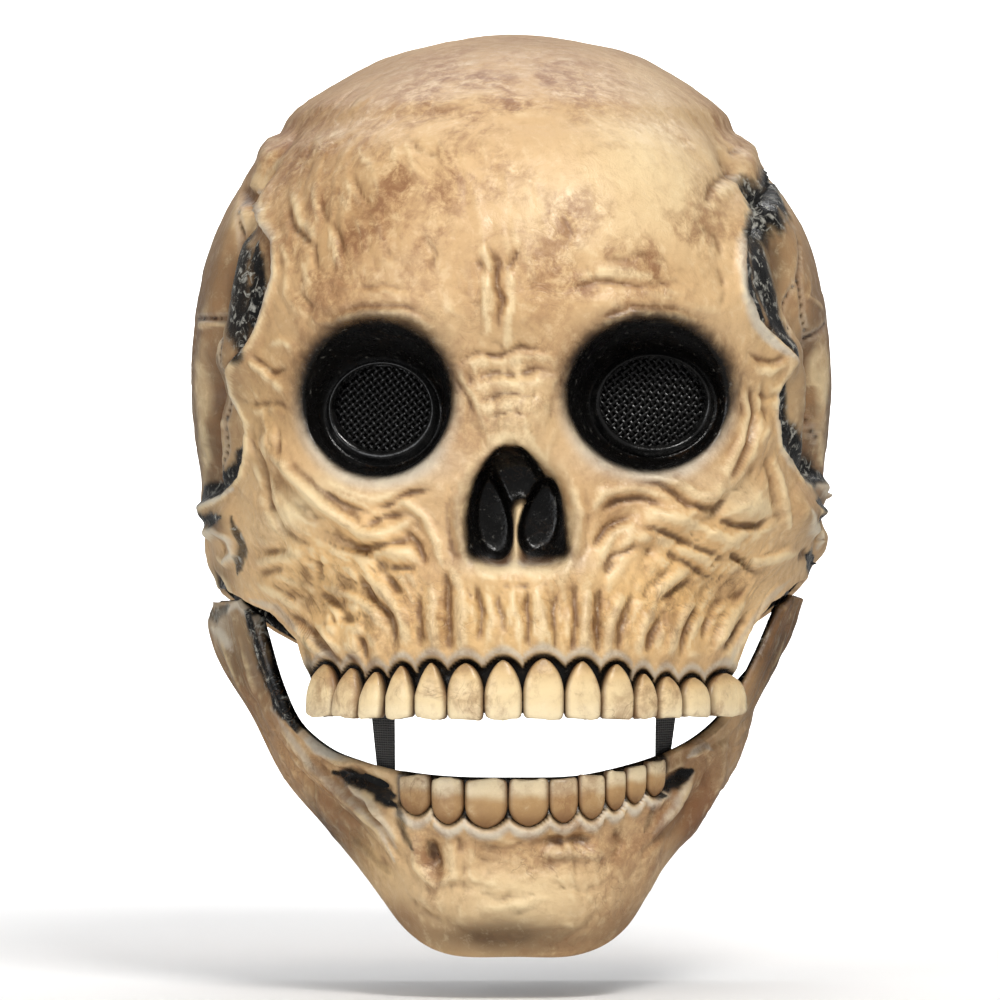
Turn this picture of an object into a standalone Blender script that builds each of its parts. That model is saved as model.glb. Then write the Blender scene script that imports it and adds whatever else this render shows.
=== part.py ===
"""Full-head latex skull mask with a loose lower jaw, at real size.

The face looks along -Y, +X is the viewer's right, +Z is up.
The origin is the inner top of the crown, where the mask sits on a head.
Tables and form functions are in millimetres and become metres as meshes are made.
Angles round the head are in degrees from the middle of the face, positive towards +X.
"""

import math

import bmesh
import bpy
import numpy as np

MM = 0.001

# Driving dimensions, mm
WALL = 2.2
CROWN_TOP = WALL
AXIS_Y = 10.0
DOME_HEIGHT = -80.0
FIT_GAP = 0.4
JAW_WALL = 3.7
BACK_POWER = 2.1
TOOTH_LINE = -203.0

# Plain form of the skull, a level ring in each row
SKULL_RINGS = (
    # height  left   right  front  back  front_power
    (CROWN_TOP, 0.0, 0.0, 0.0, 0.0, 2.0),
    (-2.8, 31.0, 32.0, 40.0, 40.0, 2.0),
    (-9.2, 48.5, 48.0, 66.0, 62.0, 2.0),
    (-22.0, 69.0, 66.5, 97.0, 86.0, 2.05),
    (-30.5, 74.7, 71.4, 108.5, 94.5, 2.05),
    (-41.0, 83.6, 79.8, 119.0, 103.0, 2.1),
    (-60.0, 94.0, 92.5, 127.5, 111.0, 2.15),
    (-80.0, 100.0, 98.5, 131.5, 114.0, 2.2),
    (-105.0, 102.5, 101.5, 128.0, 112.0, 2.2),
    (-130.0, 101.0, 100.0, 125.0, 105.0, 2.15),
    (-150.0, 97.0, 97.0, 125.5, 97.0, 2.1),
    (-170.0, 95.5, 94.5, 127.0, 90.0, 2.05),
    (-190.0, 89.0, 88.5, 128.5, 86.0, 2.0),
    (-216.0, 86.0, 87.0, 129.0, 84.0, 2.0),
)

# Free lower edge of the skull: angle round the head, height
SKULL_EDGE = (
    (-180.0, -207.0),
    (-150.0, -204.0),
    (-125.0, -192.0),
    (-105.0, -180.0),
    (-90.0, -174.5),
    (-75.0, -174.0),
    (-62.0, -175.5),
    (-47.0, -181.0),
    (-38.5, -189.5),
    (-36.5, -197.0),
    (-34.5, -210.0),
    (0.0, -210.5),
    (39.0, -210.0),
    (41.5, -197.0),
    (45.0, -188.5),
    (53.0, -178.0),
    (66.0, -172.0),
    (83.0, -170.0),
    (95.0, -173.0),
    (110.0, -181.0),
    (130.0, -194.0),
    (152.0, -204.0),
    (180.0, -207.0),
)

# Eye sockets: opening in the face, and the flat floor with its oval hole
SOCKETS = (
    # name  side  x  height  floor_width  floor_height  hole_width  hole_height
    ("left", -1.0, -40.1, -118.5, 17.8, 17.0, 15.4, 13.4),
    ("right", 1.0, 42.6, -116.5, 19.2, 16.6, 16.8, 13.8),
)
SOCKET_FLOOR_Y = -90.0
SOCKET_FLOOR_SLOPE = 0.25
# The socket's wall widens forward from its floor, most on the side of the ear
SOCKET_DEPTH = 34.0
SOCKET_FLARE_SIDE = 10.5
SOCKET_FLARE_WIDTH = 13.0
SOCKET_FLARE_HEIGHT = 9.5

# The two nostril hollows and the shallow pear-shaped dip around them
NOSTRILS = (
    # name  x  height  half_width  half_height  lean
    ("left", -6.5, -148.5, 5.0, 13.5, -0.16),
    ("right", 8.6, -149.0, 5.4, 11.5, 0.20),
)
NOSTRIL_FLOOR_Y = -99.0
NOSTRIL_DEPTH = 34.0
NOSTRIL_FLARE = 3.6
NOSE_DIP = (2.0, -152.0, 17.5, 21.0, -5.5)

# Rounded rises and hollows on the front: x, height, half width, half height, turn in degrees, rise
FACE_SWELLS = (
    # brow over each eye, and between them
    (-40.0, -90.0, 25.0, 7.0, 0.0, 3.0),
    (41.0, -89.0, 25.0, 7.0, 0.0, 3.0),
    (0.0, -90.0, 12.0, 9.0, 0.0, 2.0),
    # root and bridge of the nose
    (0.0, -104.0, 9.0, 5.0, 0.0, -3.5),
    (1.0, -122.0, 8.0, 11.0, 0.0, 6.0),
    # outer corner of each eye
    (-85.5, -104.0, 7.0, 8.0, 0.0, 4.5),
    (86.0, -103.0, 7.0, 8.0, 0.0, 4.5),
    # cheekbones, and the hollows beside the nose and under them
    (-68.0, -150.0, 21.0, 13.0, 12.0, 6.0),
    (69.0, -148.0, 21.0, 13.0, -12.0, 6.0),
    (-30.0, -153.0, 10.0, 8.0, -35.0, -3.0),
    (33.0, -152.0, 10.0, 8.0, 35.0, -3.0),
    (-60.0, -176.0, 13.0, 9.0, 20.0, -5.0),
    (63.0, -175.0, 13.0, 9.0, -20.0, -5.0),
    # shelf under the nose, and the bone that carries the teeth
    (2.0, -169.0, 16.0, 4.0, 0.0, 3.0),
    (3.0, -188.0, 50.0, 9.0, 0.0, 2.5),
    # forehead
    (-32.0, -52.0, 28.0, 24.0, 0.0, 2.5),
    (34.0, -50.0, 28.0, 24.0, 0.0, 2.5),
)

# Long folds on the front: rise, half width, then the points of its line as x, height
FACE_FOLDS = (
    (2.6, 3.6, ((-74.0, -128.0), (-62.0, -142.0), (-50.0, -153.0), (-34.0, -162.0))),
    (-2.0, 2.6, ((-70.0, -140.0), (-56.0, -155.0), (-40.0, -165.0))),
    (2.4, 3.6, ((76.0, -126.0), (64.0, -141.0), (52.0, -150.0), (36.0, -158.0))),
    (-2.0, 2.6, ((72.0, -138.0), (58.0, -152.0), (42.0, -162.0))),
    (-2.0, 2.6, ((-4.0, -62.0), (-3.0, -78.0), (-5.0, -94.0))),
    (1.6, 2.6, ((-10.0, -68.0), (-8.0, -80.0), (-12.0, -92.0))),
    (2.6, 4.0, ((-76.0, -34.0), (-78.0, -60.0), (-84.0, -88.0), (-88.0, -104.0))),
    (2.6, 4.0, ((74.0, -34.0), (70.0, -62.0), (71.0, -82.0), (84.0, -100.0))),
)

# Long folds on the sides: rise, half width, then angle and height of its line
SIDE_FOLDS = (
    # temple hollows behind the outer rim of each eye
    (-6.0, 7.0, ((-53.0, -46.0), (-56.0, -66.0), (-57.0, -88.0), (-63.0, -112.0))),
    (-6.0, 7.5, ((-63.0, -112.0), (-64.0, -128.0), (-66.0, -140.0))),
    (-6.0, 9.0, ((46.0, -44.0), (49.0, -62.0), (52.0, -84.0), (64.0, -106.0))),
    (-6.0, 8.0, ((64.0, -106.0), (64.0, -124.0), (67.0, -138.0))),
    # cheek arches, and the knobs in front of the ears
    (5.0, 6.5, ((-54.0, -153.0), (-66.0, -152.0))),
    (2.2, 6.0, ((-66.0, -152.0), (-92.0, -148.0))),
    (5.0, 6.5, ((54.0, -150.0), (66.0, -149.0))),
    (2.0, 6.0, ((66.0, -149.0), (92.0, -146.0))),
    (2.0, 5.0, ((-88.0, -160.0), (-94.0, -166.0))),
    (4.6, 5.0, ((84.0, -159.0), (92.0, -162.0))),
)
SIDE_ARC = 1.7

# Edges between the upper teeth, as x on the face, and how high each tooth reaches
UPPER_TOOTH_EDGES = (-61.8, -53.0, -45.2, -38.0, -29.6, -19.9, -8.9, 2.7,
                     15.2, 26.2, 36.0, 42.9, 50.4, 59.0, 70.4)
UPPER_TOOTH_TOPS = (-197.5, -198.5, -199.5, -197.5, -196.5, -196.5, -195.5,
                    -195.0, -196.0, -197.0, -200.0, -201.0, -201.5, -200.5)
UPPER_TOOTH_FOOT = -212.8
UPPER_TOOTH_STAND = 2.6
UPPER_TOOTH_ROOT = 2.9
GUM_STEP = 2.2

# Lower jaw: one row for each station from the left ear end to the right one
JAW_STATIONS = (
    # top x, y, z          bottom x, y, z          bulge  flange
    (-83.0, -34.0, -178.0, -98.5, 4.0, -179.0, 2.0, 1.0),
    (-79.5, -38.0, -190.0, -94.0, 3.0, -197.0, 3.0, 2.0),
    (-75.0, -43.0, -205.0, -83.0, -3.0, -215.0, 3.5, 4.0),
    (-69.0, -51.0, -217.0, -72.5, -18.0, -234.0, 3.5, 6.0),
    (-60.0, -61.0, -224.5, -58.8, -37.0, -249.0, 4.0, 8.0),
    (-50.0, -73.0, -228.0, -45.3, -56.0, -264.0, 4.5, 10.0),
    (-37.0, -86.0, -230.5, -32.3, -74.0, -279.5, 5.0, 13.0),
    (-20.0, -96.5, -232.0, -19.5, -83.5, -286.0, 5.0, 15.0),
    (0.0, -100.0, -232.3, 0.5, -86.0, -286.5, 5.0, 16.0),
    (20.0, -97.5, -231.8, 20.0, -84.0, -286.0, 5.0, 15.0),
    (38.0, -87.0, -228.5, 33.8, -74.0, -279.0, 5.0, 13.0),
    (52.0, -74.0, -224.5, 46.2, -56.0, -261.5, 4.5, 10.0),
    (62.0, -62.0, -219.0, 58.8, -37.0, -247.0, 4.0, 8.0),
    (70.0, -52.0, -211.0, 68.0, -18.0, -233.0, 3.5, 6.0),
    (77.5, -43.0, -198.0, 75.3, -3.0, -211.0, 3.5, 4.0),
    (83.0, -37.0, -186.0, 86.0, 3.0, -195.0, 3.0, 2.0),
    (87.0, -33.0, -177.0, 92.5, 4.0, -177.5, 2.0, 1.0),
)
LOWER_TOOTH_EDGES = (-34.3, -24.8, -14.9, -1.7, 10.8, 19.7, 27.8, 33.9, 40.1, 46.0)
LOWER_TOOTH_FEET = (-242.5, -245.0, -246.0, -245.5, -244.5, -243.5, -241.0, -239.0, -237.0)
LOWER_TOOTH_STAND = 1.8
LOWER_TOOTH_ROOT = 2.4
LOWER_GUM_RISE = 1.6

# Rounded rises and hollows of the jaw: x, height, half width, half height, turn, rise
JAW_SWELLS = (
    (0.0, -271.0, 18.0, 10.0, 0.0, 3.5),
    (-26.0, -268.0, 9.0, 9.0, -20.0, 1.6),
    (28.0, -268.0, 9.0, 9.0, 20.0, 1.6),
    (-24.0, -256.0, 5.0, 7.0, 0.0, -1.8),
    (-8.0, -255.0, 6.0, 5.0, 0.0, -1.5),
    (14.0, -255.0, 9.0, 5.0, 0.0, -1.8),
    (34.0, -250.0, 5.0, 5.0, 30.0, -1.6),
    (-45.0, -232.0, 8.0, 5.0, -10.0, -1.8),
    (52.0, -227.0, 6.0, 5.0, 20.0, -1.8),
)
# Lengthwise grooves of the rising branches: place across the strip, half width, depth
JAW_GROOVES = ((0.24, 0.07, 1.2), (0.50, 0.08, 1.6), (0.76, 0.07, 1.2))

# Webbing and mesh
EYE_MESH_LIP = 1.8
EYE_MESH_THICK = 1.0
EYE_MESH_CROWN = 1.6
STRAP_WIDTH = 10.0
STRAP_THICK = 1.2
STRAPS = (
    # name  x at the skull  x at the jaw
    ("left", -43.6, -44.4),
    ("right", 51.0, 51.6),
)
STRAP_TOP = -199.0
STRAP_LEAVES_SKULL = -207.0
STRAP_MEETS_JAW = 0.0
STRAP_END = 0.45
STRAP_CLEAR_SKULL = 0.1
STRAP_CLEAR_JAW = 1.4
WEBS = (
    # name  side  clear_of_jaw  clear_of_skull
    ("left", -1.0, 0.45, 1.25),
    ("right", 1.0, 0.70, 0.0),
)
WEB_WIDTH = 11.0
WEB_THICK = 1.8
WEB_RIB = 0.9
WEB_RIB_COUNT = 6
WEB_JAW_PLACES = ((0.075, 0.36), (0.02, 0.36))
WEB_SKULL_ANGLE = 78.0
WEB_SKULL_TOP = -164.0

# Mesh density of the plain solids
FRONT_STEPS = ((10.0, 6), (36.0, 10), (72.0, 8), (108.0, 4), (180.0, 5))
BACK_ANGLE = 72.0
DOME_ROWS = 10
FACE_ROWS = 25
INNER_STRIDE = 2
HOLLOW_OVERRUN = 15.0
CAP_HEIGHT = -190.0
JAW_COLUMNS = 38
JAW_OUTER_ROWS = 11
JAW_INNER_ROWS = 4


def catmull_rom(table, samples_per_row, mirror_first=False):
    """Rows read from a smooth curve through a table's rows."""
    rows = np.array(table, dtype=float)
    first = 2.0 * rows[0] - rows[1]
    if mirror_first:
        first = rows[1].copy()
        first[1:5] *= -1.0
    last = 2.0 * rows[-1] - rows[-2]
    padded = np.vstack((first, rows, last))
    out = []
    for i in range(len(rows) - 1):
        before, start, end, after = padded[i:i + 4]
        for t in np.linspace(0.0, 1.0, samples_per_row, endpoint=False):
            out.append(0.5 * (2.0 * start + (end - before) * t
                              + (2.0 * before - 5.0 * start + 4.0 * end - after) * t ** 2
                              + (3.0 * (start - end) + after - before) * t ** 3))
    out.append(rows[-1])
    return np.array(out)


RING_SAMPLES = catmull_rom(SKULL_RINGS, 60, mirror_first=True)
JAW_SAMPLES = catmull_rom(JAW_STATIONS, 24)


def smoothstep(low, high, value):
    """0 below low, 1 above high, smooth between; low may be the larger one."""
    t = np.clip((value - low) / (high - low), 0.0, 1.0)
    return t * t * (3.0 - 2.0 * t)


def swell(x, z, row):
    """A rounded rise or hollow of one table row."""
    centre_x, centre_z, half_width, half_height, turn, rise = row
    cos_turn = math.cos(math.radians(turn))
    sin_turn = math.sin(math.radians(turn))
    across = ((x - centre_x) * cos_turn + (z - centre_z) * sin_turn) / half_width
    up = ((z - centre_z) * cos_turn - (x - centre_x) * sin_turn) / half_height
    return rise * np.exp(-across ** 2 - up ** 2)


def line_distance(x, z, points):
    """Distance from a line of straight stretches."""
    best = np.full(np.shape(x), 1e9)
    for (x0, z0), (x1, z1) in zip(points, points[1:]):
        length_squared = (x1 - x0) ** 2 + (z1 - z0) ** 2
        t = np.clip(((x - x0) * (x1 - x0) + (z - z0) * (z1 - z0)) / length_squared, 0.0, 1.0)
        best = np.minimum(best, np.hypot(x - x0 - t * (x1 - x0), z - z0 - t * (z1 - z0)))
    return best


def fold(x, z, row):
    """A long rounded ridge, or a groove where the rise is below zero."""
    rise, half_width, points = row
    return rise * np.exp(-(line_distance(x, z, points) / half_width) ** 2)


def ring_at(height):
    """Left, right, front and back reach and front power of the plain skull at a height."""
    depth = CROWN_TOP - height
    return [np.interp(depth, CROWN_TOP - RING_SAMPLES[:, 0], RING_SAMPLES[:, i]) for i in range(1, 6)]


def skull_radius(height, angle):
    """Distance of the plain skull from its upright axis; the angle is in radians."""
    left, right, front, back, power = ring_at(height)
    side = np.maximum(np.where(angle < 0.0, left, right), 1e-6)
    reach = np.maximum(np.where(np.cos(angle) > 0.0, front, back), 1e-6)
    power = np.where(np.cos(angle) > 0.0, power, BACK_POWER)
    inside = (np.abs(np.sin(angle)) / side) ** power + (np.abs(np.cos(angle)) / reach) ** power
    return inside ** (-1.0 / power)


def skull_front_y(x, height):
    """Y of the plain skull's front at a given x."""
    left, right, front, _, power = ring_at(height)
    side = np.where(x < 0.0, left, right)
    return AXIS_Y - front * (1.0 - (np.abs(x) / side) ** power) ** (1.0 / power)


def gum_line(x):
    """Height of the gum's scalloped edge over the upper teeth."""
    edges = np.array(UPPER_TOOTH_EDGES)
    tops = np.array(UPPER_TOOTH_TOPS)
    index = np.clip(np.searchsorted(edges, x) - 1, 0, len(tops) - 1)
    middle = 0.5 * (edges[index] + edges[index + 1])
    half = 0.5 * (edges[index + 1] - edges[index])
    away = np.clip((x - middle) / half, -1.0, 1.0)
    return tops[index] + 2.0 - 3.6 * away ** 2


def skull_relief(x, z, degrees):
    """Rise of the skull's face and sides over the plain form."""
    front = smoothstep(86.0, 70.0, np.abs(degrees))
    relief = sum(swell(x, z, row) for row in FACE_SWELLS)
    relief = relief + sum(fold(x, z, row) for row in FACE_FOLDS)
    relief = relief * front
    relief = relief + sum(fold(degrees * SIDE_ARC, z, (rise, width, [(a * SIDE_ARC, h) for a, h in points]))
                          for rise, width, points in SIDE_FOLDS)
    dip_x, dip_z, dip_width, dip_height, dip = NOSE_DIP
    away = np.hypot((x - dip_x) / dip_width, (z - dip_z) / dip_height)
    relief = relief + dip * smoothstep(1.1, 0.7, away) * front
    # the wall steps back under the gum, where the teeth stand on it
    under_gum = smoothstep(0.6, -0.6, z - gum_line(x)) * smoothstep(74.0, 70.0, np.abs(x)) * front
    relief = relief - GUM_STEP * under_gum
    # a low ridge over the root of each tooth
    edges = np.array(UPPER_TOOTH_EDGES)
    for left_edge, right_edge in zip(edges, edges[1:]):
        middle = 0.5 * (left_edge + right_edge)
        half = 0.28 * (right_edge - left_edge)
        height = smoothstep(-174.0, -182.0, z) * smoothstep(-197.0, -193.0, z)
        relief = relief + 1.5 * np.exp(-((x - middle) / half) ** 2) * height * front
    return relief


def plain_reach(height, angle):
    """Length of each ray to the plain form."""
    return np.hypot(skull_radius(height, angle), height - np.minimum(height, DOME_HEIGHT))


def skull_reach(height, angle):
    """Length of each ray to the skull's outer face, before the sockets and nostrils are cut."""
    x = skull_radius(height, angle) * np.sin(angle)
    return plain_reach(height, angle) + skull_relief(x, height, np.degrees(angle))


def skull_place(height, angle, reach):
    """Point on the ray of a height and an angle, at a distance from where the rays start."""
    radius = skull_radius(height, angle)
    rise = height - np.minimum(height, DOME_HEIGHT)
    length = np.maximum(np.hypot(radius, rise), 1e-9)
    level = reach * radius / length
    return np.stack((level * np.sin(angle),
                     AXIS_Y - level * np.cos(angle),
                     np.minimum(height, DOME_HEIGHT) + reach * rise / length), axis=-1)


def skull_angles():
    """Angles of the mesh columns, close together on the face."""
    half = [0.0]
    for end, count in FRONT_STEPS:
        half.extend(np.linspace(half[-1], end, count + 1)[1:])
    half = np.array(half)
    return np.radians(np.concatenate((-half[:0:-1], half[:-1])))


def skull_heights(angles):
    """Height of each row at each column, from just under the crown to the free edge."""
    edge_table = np.array(SKULL_EDGE)
    edge = np.interp(np.degrees(angles), edge_table[:, 0], edge_table[:, 1])
    dome_samples = RING_SAMPLES[RING_SAMPLES[:, 0] > DOME_HEIGHT]
    picks = np.linspace(0, len(dome_samples) - 1, DOME_ROWS + 1)[1:].astype(int)
    dome = np.repeat(dome_samples[picks, 0][:, None], len(angles), axis=1)
    down = (np.arange(FACE_ROWS) + 1.0) / FACE_ROWS
    face = DOME_HEIGHT + (edge - DOME_HEIGHT)[None, :] * down[:, None]
    return np.vstack((dome, face))


def shrink_to_least(values, rows, columns):
    """Each value replaced by the least one near it; columns run round the head."""
    least = values.copy()
    for _ in range(columns):
        least = np.minimum(least, np.minimum(np.roll(least, 1, axis=1), np.roll(least, -1, axis=1)))
    for _ in range(rows):
        below = np.vstack((least[1:], least[-1:]))
        above = np.vstack((least[:1], least[:-1]))
        least = np.minimum(least, np.minimum(below, above))
    return least


def capped_rings(rings, top, bottom):
    """Closed solid through rings of points, with a point over the first and one under the last."""
    count = rings.shape[1]
    vertices = np.vstack(([top], rings.reshape(-1, 3), [bottom]))
    last = len(vertices) - 1
    faces = []
    for i in range(count):
        j = (i + 1) % count
        faces.append((0, 1 + i, 1 + j))
        for start in range(1, last - count, count):
            faces.append((start + i, start + count + i, start + count + j, start + j))
        faces.append((last, last - count + j, last - count + i))
    return vertices, faces


def skull_solids():
    """Outer form of the skull and the hollow inside it, both as closed solids."""
    angles = skull_angles()
    heights = skull_heights(angles)
    grid_angles = np.broadcast_to(angles, heights.shape)
    reach = skull_reach(heights, grid_angles)
    outer = skull_place(heights, grid_angles, reach)

    plain = plain_reach(heights, grid_angles)
    inner_reach = plain + shrink_to_least(reach - plain, 1, 1) - WALL
    middle = len(angles) // 2
    columns = [i for i, angle in enumerate(np.degrees(angles))
               if abs(angle) > BACK_ANGLE - 0.1 or (i - middle) % INNER_STRIDE == 0]
    inner = skull_place(heights, grid_angles, inner_reach)[::INNER_STRIDE, columns]
    below = inner[-1:] - np.array((0.0, 0.0, HOLLOW_OVERRUN))
    return (capped_rings(outer, (0.0, AXIS_Y, CROWN_TOP), (0.0, AXIS_Y, CAP_HEIGHT)),
            capped_rings(np.vstack((inner, below)), (0.0, AXIS_Y, 0.0),
                         (0.0, AXIS_Y, CAP_HEIGHT - 3.0 * HOLLOW_OVERRUN)))


def tooth_mesh_data(left, right, out, foot, top, stand, root, point_up):
    """A tooth between two points on the arch, round at the gum and flat at its biting edge."""
    middle = 0.5 * (left + right)
    across = 0.5 * (right - left)
    levels = (
        # place from biting edge to gum, width, stand
        (0.00, 0.93, 0.85),
        (0.50, 0.95, 1.00),
        (1.00, 0.34, 0.35),
    )
    section = ((-1.0, 0.0), (-0.94, 0.62), (-0.55, 1.0), (0.55, 1.0), (0.94, 0.62), (1.0, 0.0),
               (0.80, -1.0), (-0.80, -1.0))
    vertices = []
    for place, width, bulge in levels:
        height = foot + (top - foot) * place
        for side, depth in section:
            push = stand * bulge * depth if depth > 0.0 else root * depth
            point = middle + across * side * width * (0.97 if depth >= 0.0 else 0.9) + out * push
            vertices.append((point[0], point[1], height))
    count = len(section)
    faces = []
    for level in range(len(levels) - 1):
        for i in range(count):
            j = (i + 1) % count
            a, b = level * count + i, level * count + j
            faces.append((a, b, b + count, a + count))
    faces.append(tuple(range(count))[::-1])
    last = (len(levels) - 1) * count
    faces.append(tuple(range(last, last + count)))
    if point_up:
        faces = [face[::-1] for face in faces]
    return np.array(vertices), faces


def joined(parts):
    """Several lists of vertices and faces as one."""
    vertices = []
    faces = []
    for part_vertices, part_faces in parts:
        start = len(vertices)
        vertices.extend(map(tuple, part_vertices))
        faces.extend(tuple(start + i for i in face) for face in part_faces)
    return np.array(vertices), faces


def level_out(point_left, point_right):
    """Level direction that points out of the arch at the middle of two points."""
    run = point_right - point_left
    out = np.array((run[1], -run[0], 0.0))
    return out / np.linalg.norm(out)


def upper_teeth_data():
    """All upper teeth."""
    teeth = []
    for i, top in enumerate(UPPER_TOOTH_TOPS):
        ends = []
        for x in UPPER_TOOTH_EDGES[i:i + 2]:
            y = skull_front_y(np.array(x), np.array(TOOTH_LINE))
            ends.append(np.array((x, float(y), 0.0)))
        out = level_out(*ends)
        teeth.append(tooth_mesh_data(ends[0], ends[1], out, UPPER_TOOTH_FOOT, top,
                                     UPPER_TOOTH_STAND, UPPER_TOOTH_ROOT, True))
    return joined(teeth)


def jaw_base(station, across):
    """Point of the plain jaw; station runs 0 to 1 from ear to ear, across 0 at the top edge to 1."""
    last = len(JAW_SAMPLES) - 1
    columns = [np.interp(station * last, np.arange(last + 1), JAW_SAMPLES[:, i]) for i in range(8)]
    top = np.stack(columns[0:3], axis=-1)
    bottom = np.stack(columns[3:6], axis=-1)
    middle = 0.5 * (JAW_SAMPLES[:, 0:3] + JAW_SAMPLES[:, 3:6])
    run = np.gradient(middle, axis=0)
    fall = JAW_SAMPLES[:, 3:6] - JAW_SAMPLES[:, 0:3]
    out = np.cross(fall, run)
    out /= np.linalg.norm(out, axis=1)[:, None]
    out = np.stack([np.interp(station * last, np.arange(last + 1), out[:, i]) for i in range(3)], axis=-1)
    bulge = columns[6] * 4.0 * across * (1.0 - across)
    point = top + (bottom - top) * across[..., None] + out * bulge[..., None]
    return point, out, columns[7]


def lower_gum_line(x):
    """Height of the gum's scalloped edge under the lower teeth."""
    edges = np.array(LOWER_TOOTH_EDGES)
    feet = np.array(LOWER_TOOTH_FEET)
    index = np.clip(np.searchsorted(edges, x) - 1, 0, len(feet) - 1)
    middle = 0.5 * (edges[index] + edges[index + 1])
    half = 0.5 * (edges[index + 1] - edges[index])
    away = np.clip((x - middle) / half, -1.0, 1.0)
    return feet[index] - 0.6 + 3.2 * away ** 2


def jaw_relief(point, station, across):
    """Rise of the jaw's outer face over its plain form."""
    x = point[..., 0]
    z = point[..., 2]
    relief = sum(swell(x, z, row) for row in JAW_SWELLS)
    toothed = smoothstep(-37.0, -34.0, x) * smoothstep(49.0, 46.0, x)
    from_gum = z - lower_gum_line(x)
    relief = relief + LOWER_GUM_RISE * np.exp(-((from_gum + 2.0) / 2.2) ** 2) * toothed
    relief = relief - 1.2 * smoothstep(-0.5, 0.8, from_gum) * toothed
    branch = smoothstep(0.20, 0.12, np.minimum(station, 1.0 - station))
    for place, half_width, depth in JAW_GROOVES:
        relief = relief - depth * np.exp(-((across - place) / half_width) ** 2) * branch
    return relief


def jaw_sections(columns, outer_rows, inner_rows):
    """Closed outline of the jaw's wall at each station."""
    station = np.linspace(0.0, 1.0, columns)[:, None]
    across = np.linspace(0.0, 1.0, outer_rows)[None, :]
    station_grid = np.broadcast_to(station, (columns, outer_rows))
    across_grid = np.broadcast_to(across, (columns, outer_rows))
    base, out, _ = jaw_base(station_grid, across_grid)
    outer = base + out * jaw_relief(base, station_grid, across_grid)[..., None]

    inner_across = np.linspace(0.93, 0.0, inner_rows)[None, :]
    inner_across = np.broadcast_to(inner_across, (columns, inner_rows))
    inner_station = np.broadcast_to(station, (columns, inner_rows))
    inner_base, inner_out, _ = jaw_base(inner_station, inner_across)
    inner = inner_base - inner_out * JAW_WALL

    end = np.full((columns, 1), 1.0)
    foot, foot_out, flange = jaw_base(station, end)
    level = foot_out * np.array((1.0, 1.0, 0.0))
    level /= np.linalg.norm(level, axis=-1)[..., None]
    tip = foot - level * (flange[..., None] + JAW_WALL)
    lift = np.array((0.0, 0.0, WALL))
    return np.concatenate((outer, tip, tip + lift, inner), axis=1)


def jaw_mesh_data():
    """Vertices and faces of the jaw without teeth, facing out."""
    sections = jaw_sections(JAW_COLUMNS, JAW_OUTER_ROWS, JAW_INNER_ROWS)
    columns, count = sections.shape[:2]
    vertices = sections.reshape(-1, 3)
    faces = []
    for c in range(columns - 1):
        for i in range(count):
            j = (i + 1) % count
            a = c * count
            faces.append((a + i, a + j, a + count + j, a + count + i))
    faces.append(tuple(range(count))[::-1])
    faces.append(tuple(range((columns - 1) * count, columns * count)))
    return vertices, faces


def jaw_at_x(x, across):
    """Jaw point at a given x on the front, and the level direction out of it there."""
    stations = np.linspace(0.12, 0.88, 400)
    points = jaw_base(stations, np.full(400, across))[0]
    station = np.interp(x, points[:, 0], stations)
    point, out, _ = jaw_base(np.array([station]), np.array([across]))
    return point[0], out[0]


def lower_teeth_data():
    """All lower teeth that show."""
    teeth = []
    for i, foot in enumerate(LOWER_TOOTH_FEET):
        ends = [jaw_at_x(x, 0.12)[0] for x in LOWER_TOOTH_EDGES[i:i + 2]]
        bite = 0.5 * sum(jaw_at_x(x, 0.0)[0][2] for x in LOWER_TOOTH_EDGES[i:i + 2]) + 0.6
        out = level_out(*ends)
        teeth.append(tooth_mesh_data(ends[0], ends[1], out, bite, foot,
                                     LOWER_TOOTH_STAND, LOWER_TOOTH_ROOT, False))
    return joined(teeth)


def socket_frame(socket):
    """Middle of a socket's floor, and its across, up and outward directions."""
    side = socket[1]
    middle = np.array((socket[2], SOCKET_FLOOR_Y, socket[3]))
    out = np.array((SOCKET_FLOOR_SLOPE * side, -1.0, 0.0))
    out /= np.linalg.norm(out)
    across = np.array((-out[1], out[0], 0.0))
    return middle, across, np.array((0.0, 0.0, 1.0)), out


def oval_loft_data(rings, segments):
    """Solid through oval rings; a ring is its middle, half width line and half height line."""
    vertices = []
    for middle, across, up in rings:
        for i in range(segments):
            turn = 2.0 * math.pi * i / segments
            vertices.append(middle + across * math.cos(turn) + up * math.sin(turn))
    last = (len(rings) - 1) * segments
    faces = [tuple(range(segments)), tuple(range(last + segments - 1, last - 1, -1))]
    for start in range(0, last, segments):
        for i in range(segments):
            j = (i + 1) % segments
            faces.append((start + i, start + i + segments, start + j + segments, start + j))
    return np.array(vertices), faces


def eye_hole_data(socket):
    """Oval plug through a socket's floor."""
    middle, across, up, out = socket_frame(socket)
    half_width, half_height = socket[6:8]
    return oval_loft_data([(middle + out * depth, across * half_width, up * half_height)
                           for depth in (4.0, -3.0 * WALL)], 20)


def socket_bowl_data(socket, wall=0.0):
    """Solid that hollows out a socket, wider towards the front; or its outside, with a wall."""
    middle, across, up, out = socket_frame(socket)
    _, side, _, _, half_width, half_height = socket[:6]
    rings = []
    for share in (1.0, 0.0):
        centre = middle + across * side * SOCKET_FLARE_SIDE * share
        centre = centre + out * (SOCKET_DEPTH * share - wall * (1.0 - share))
        rings.append((centre, across * (half_width + SOCKET_FLARE_WIDTH * share + wall),
                      up * (half_height + SOCKET_FLARE_HEIGHT * share + wall)))
    return oval_loft_data(rings, 26)


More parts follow.
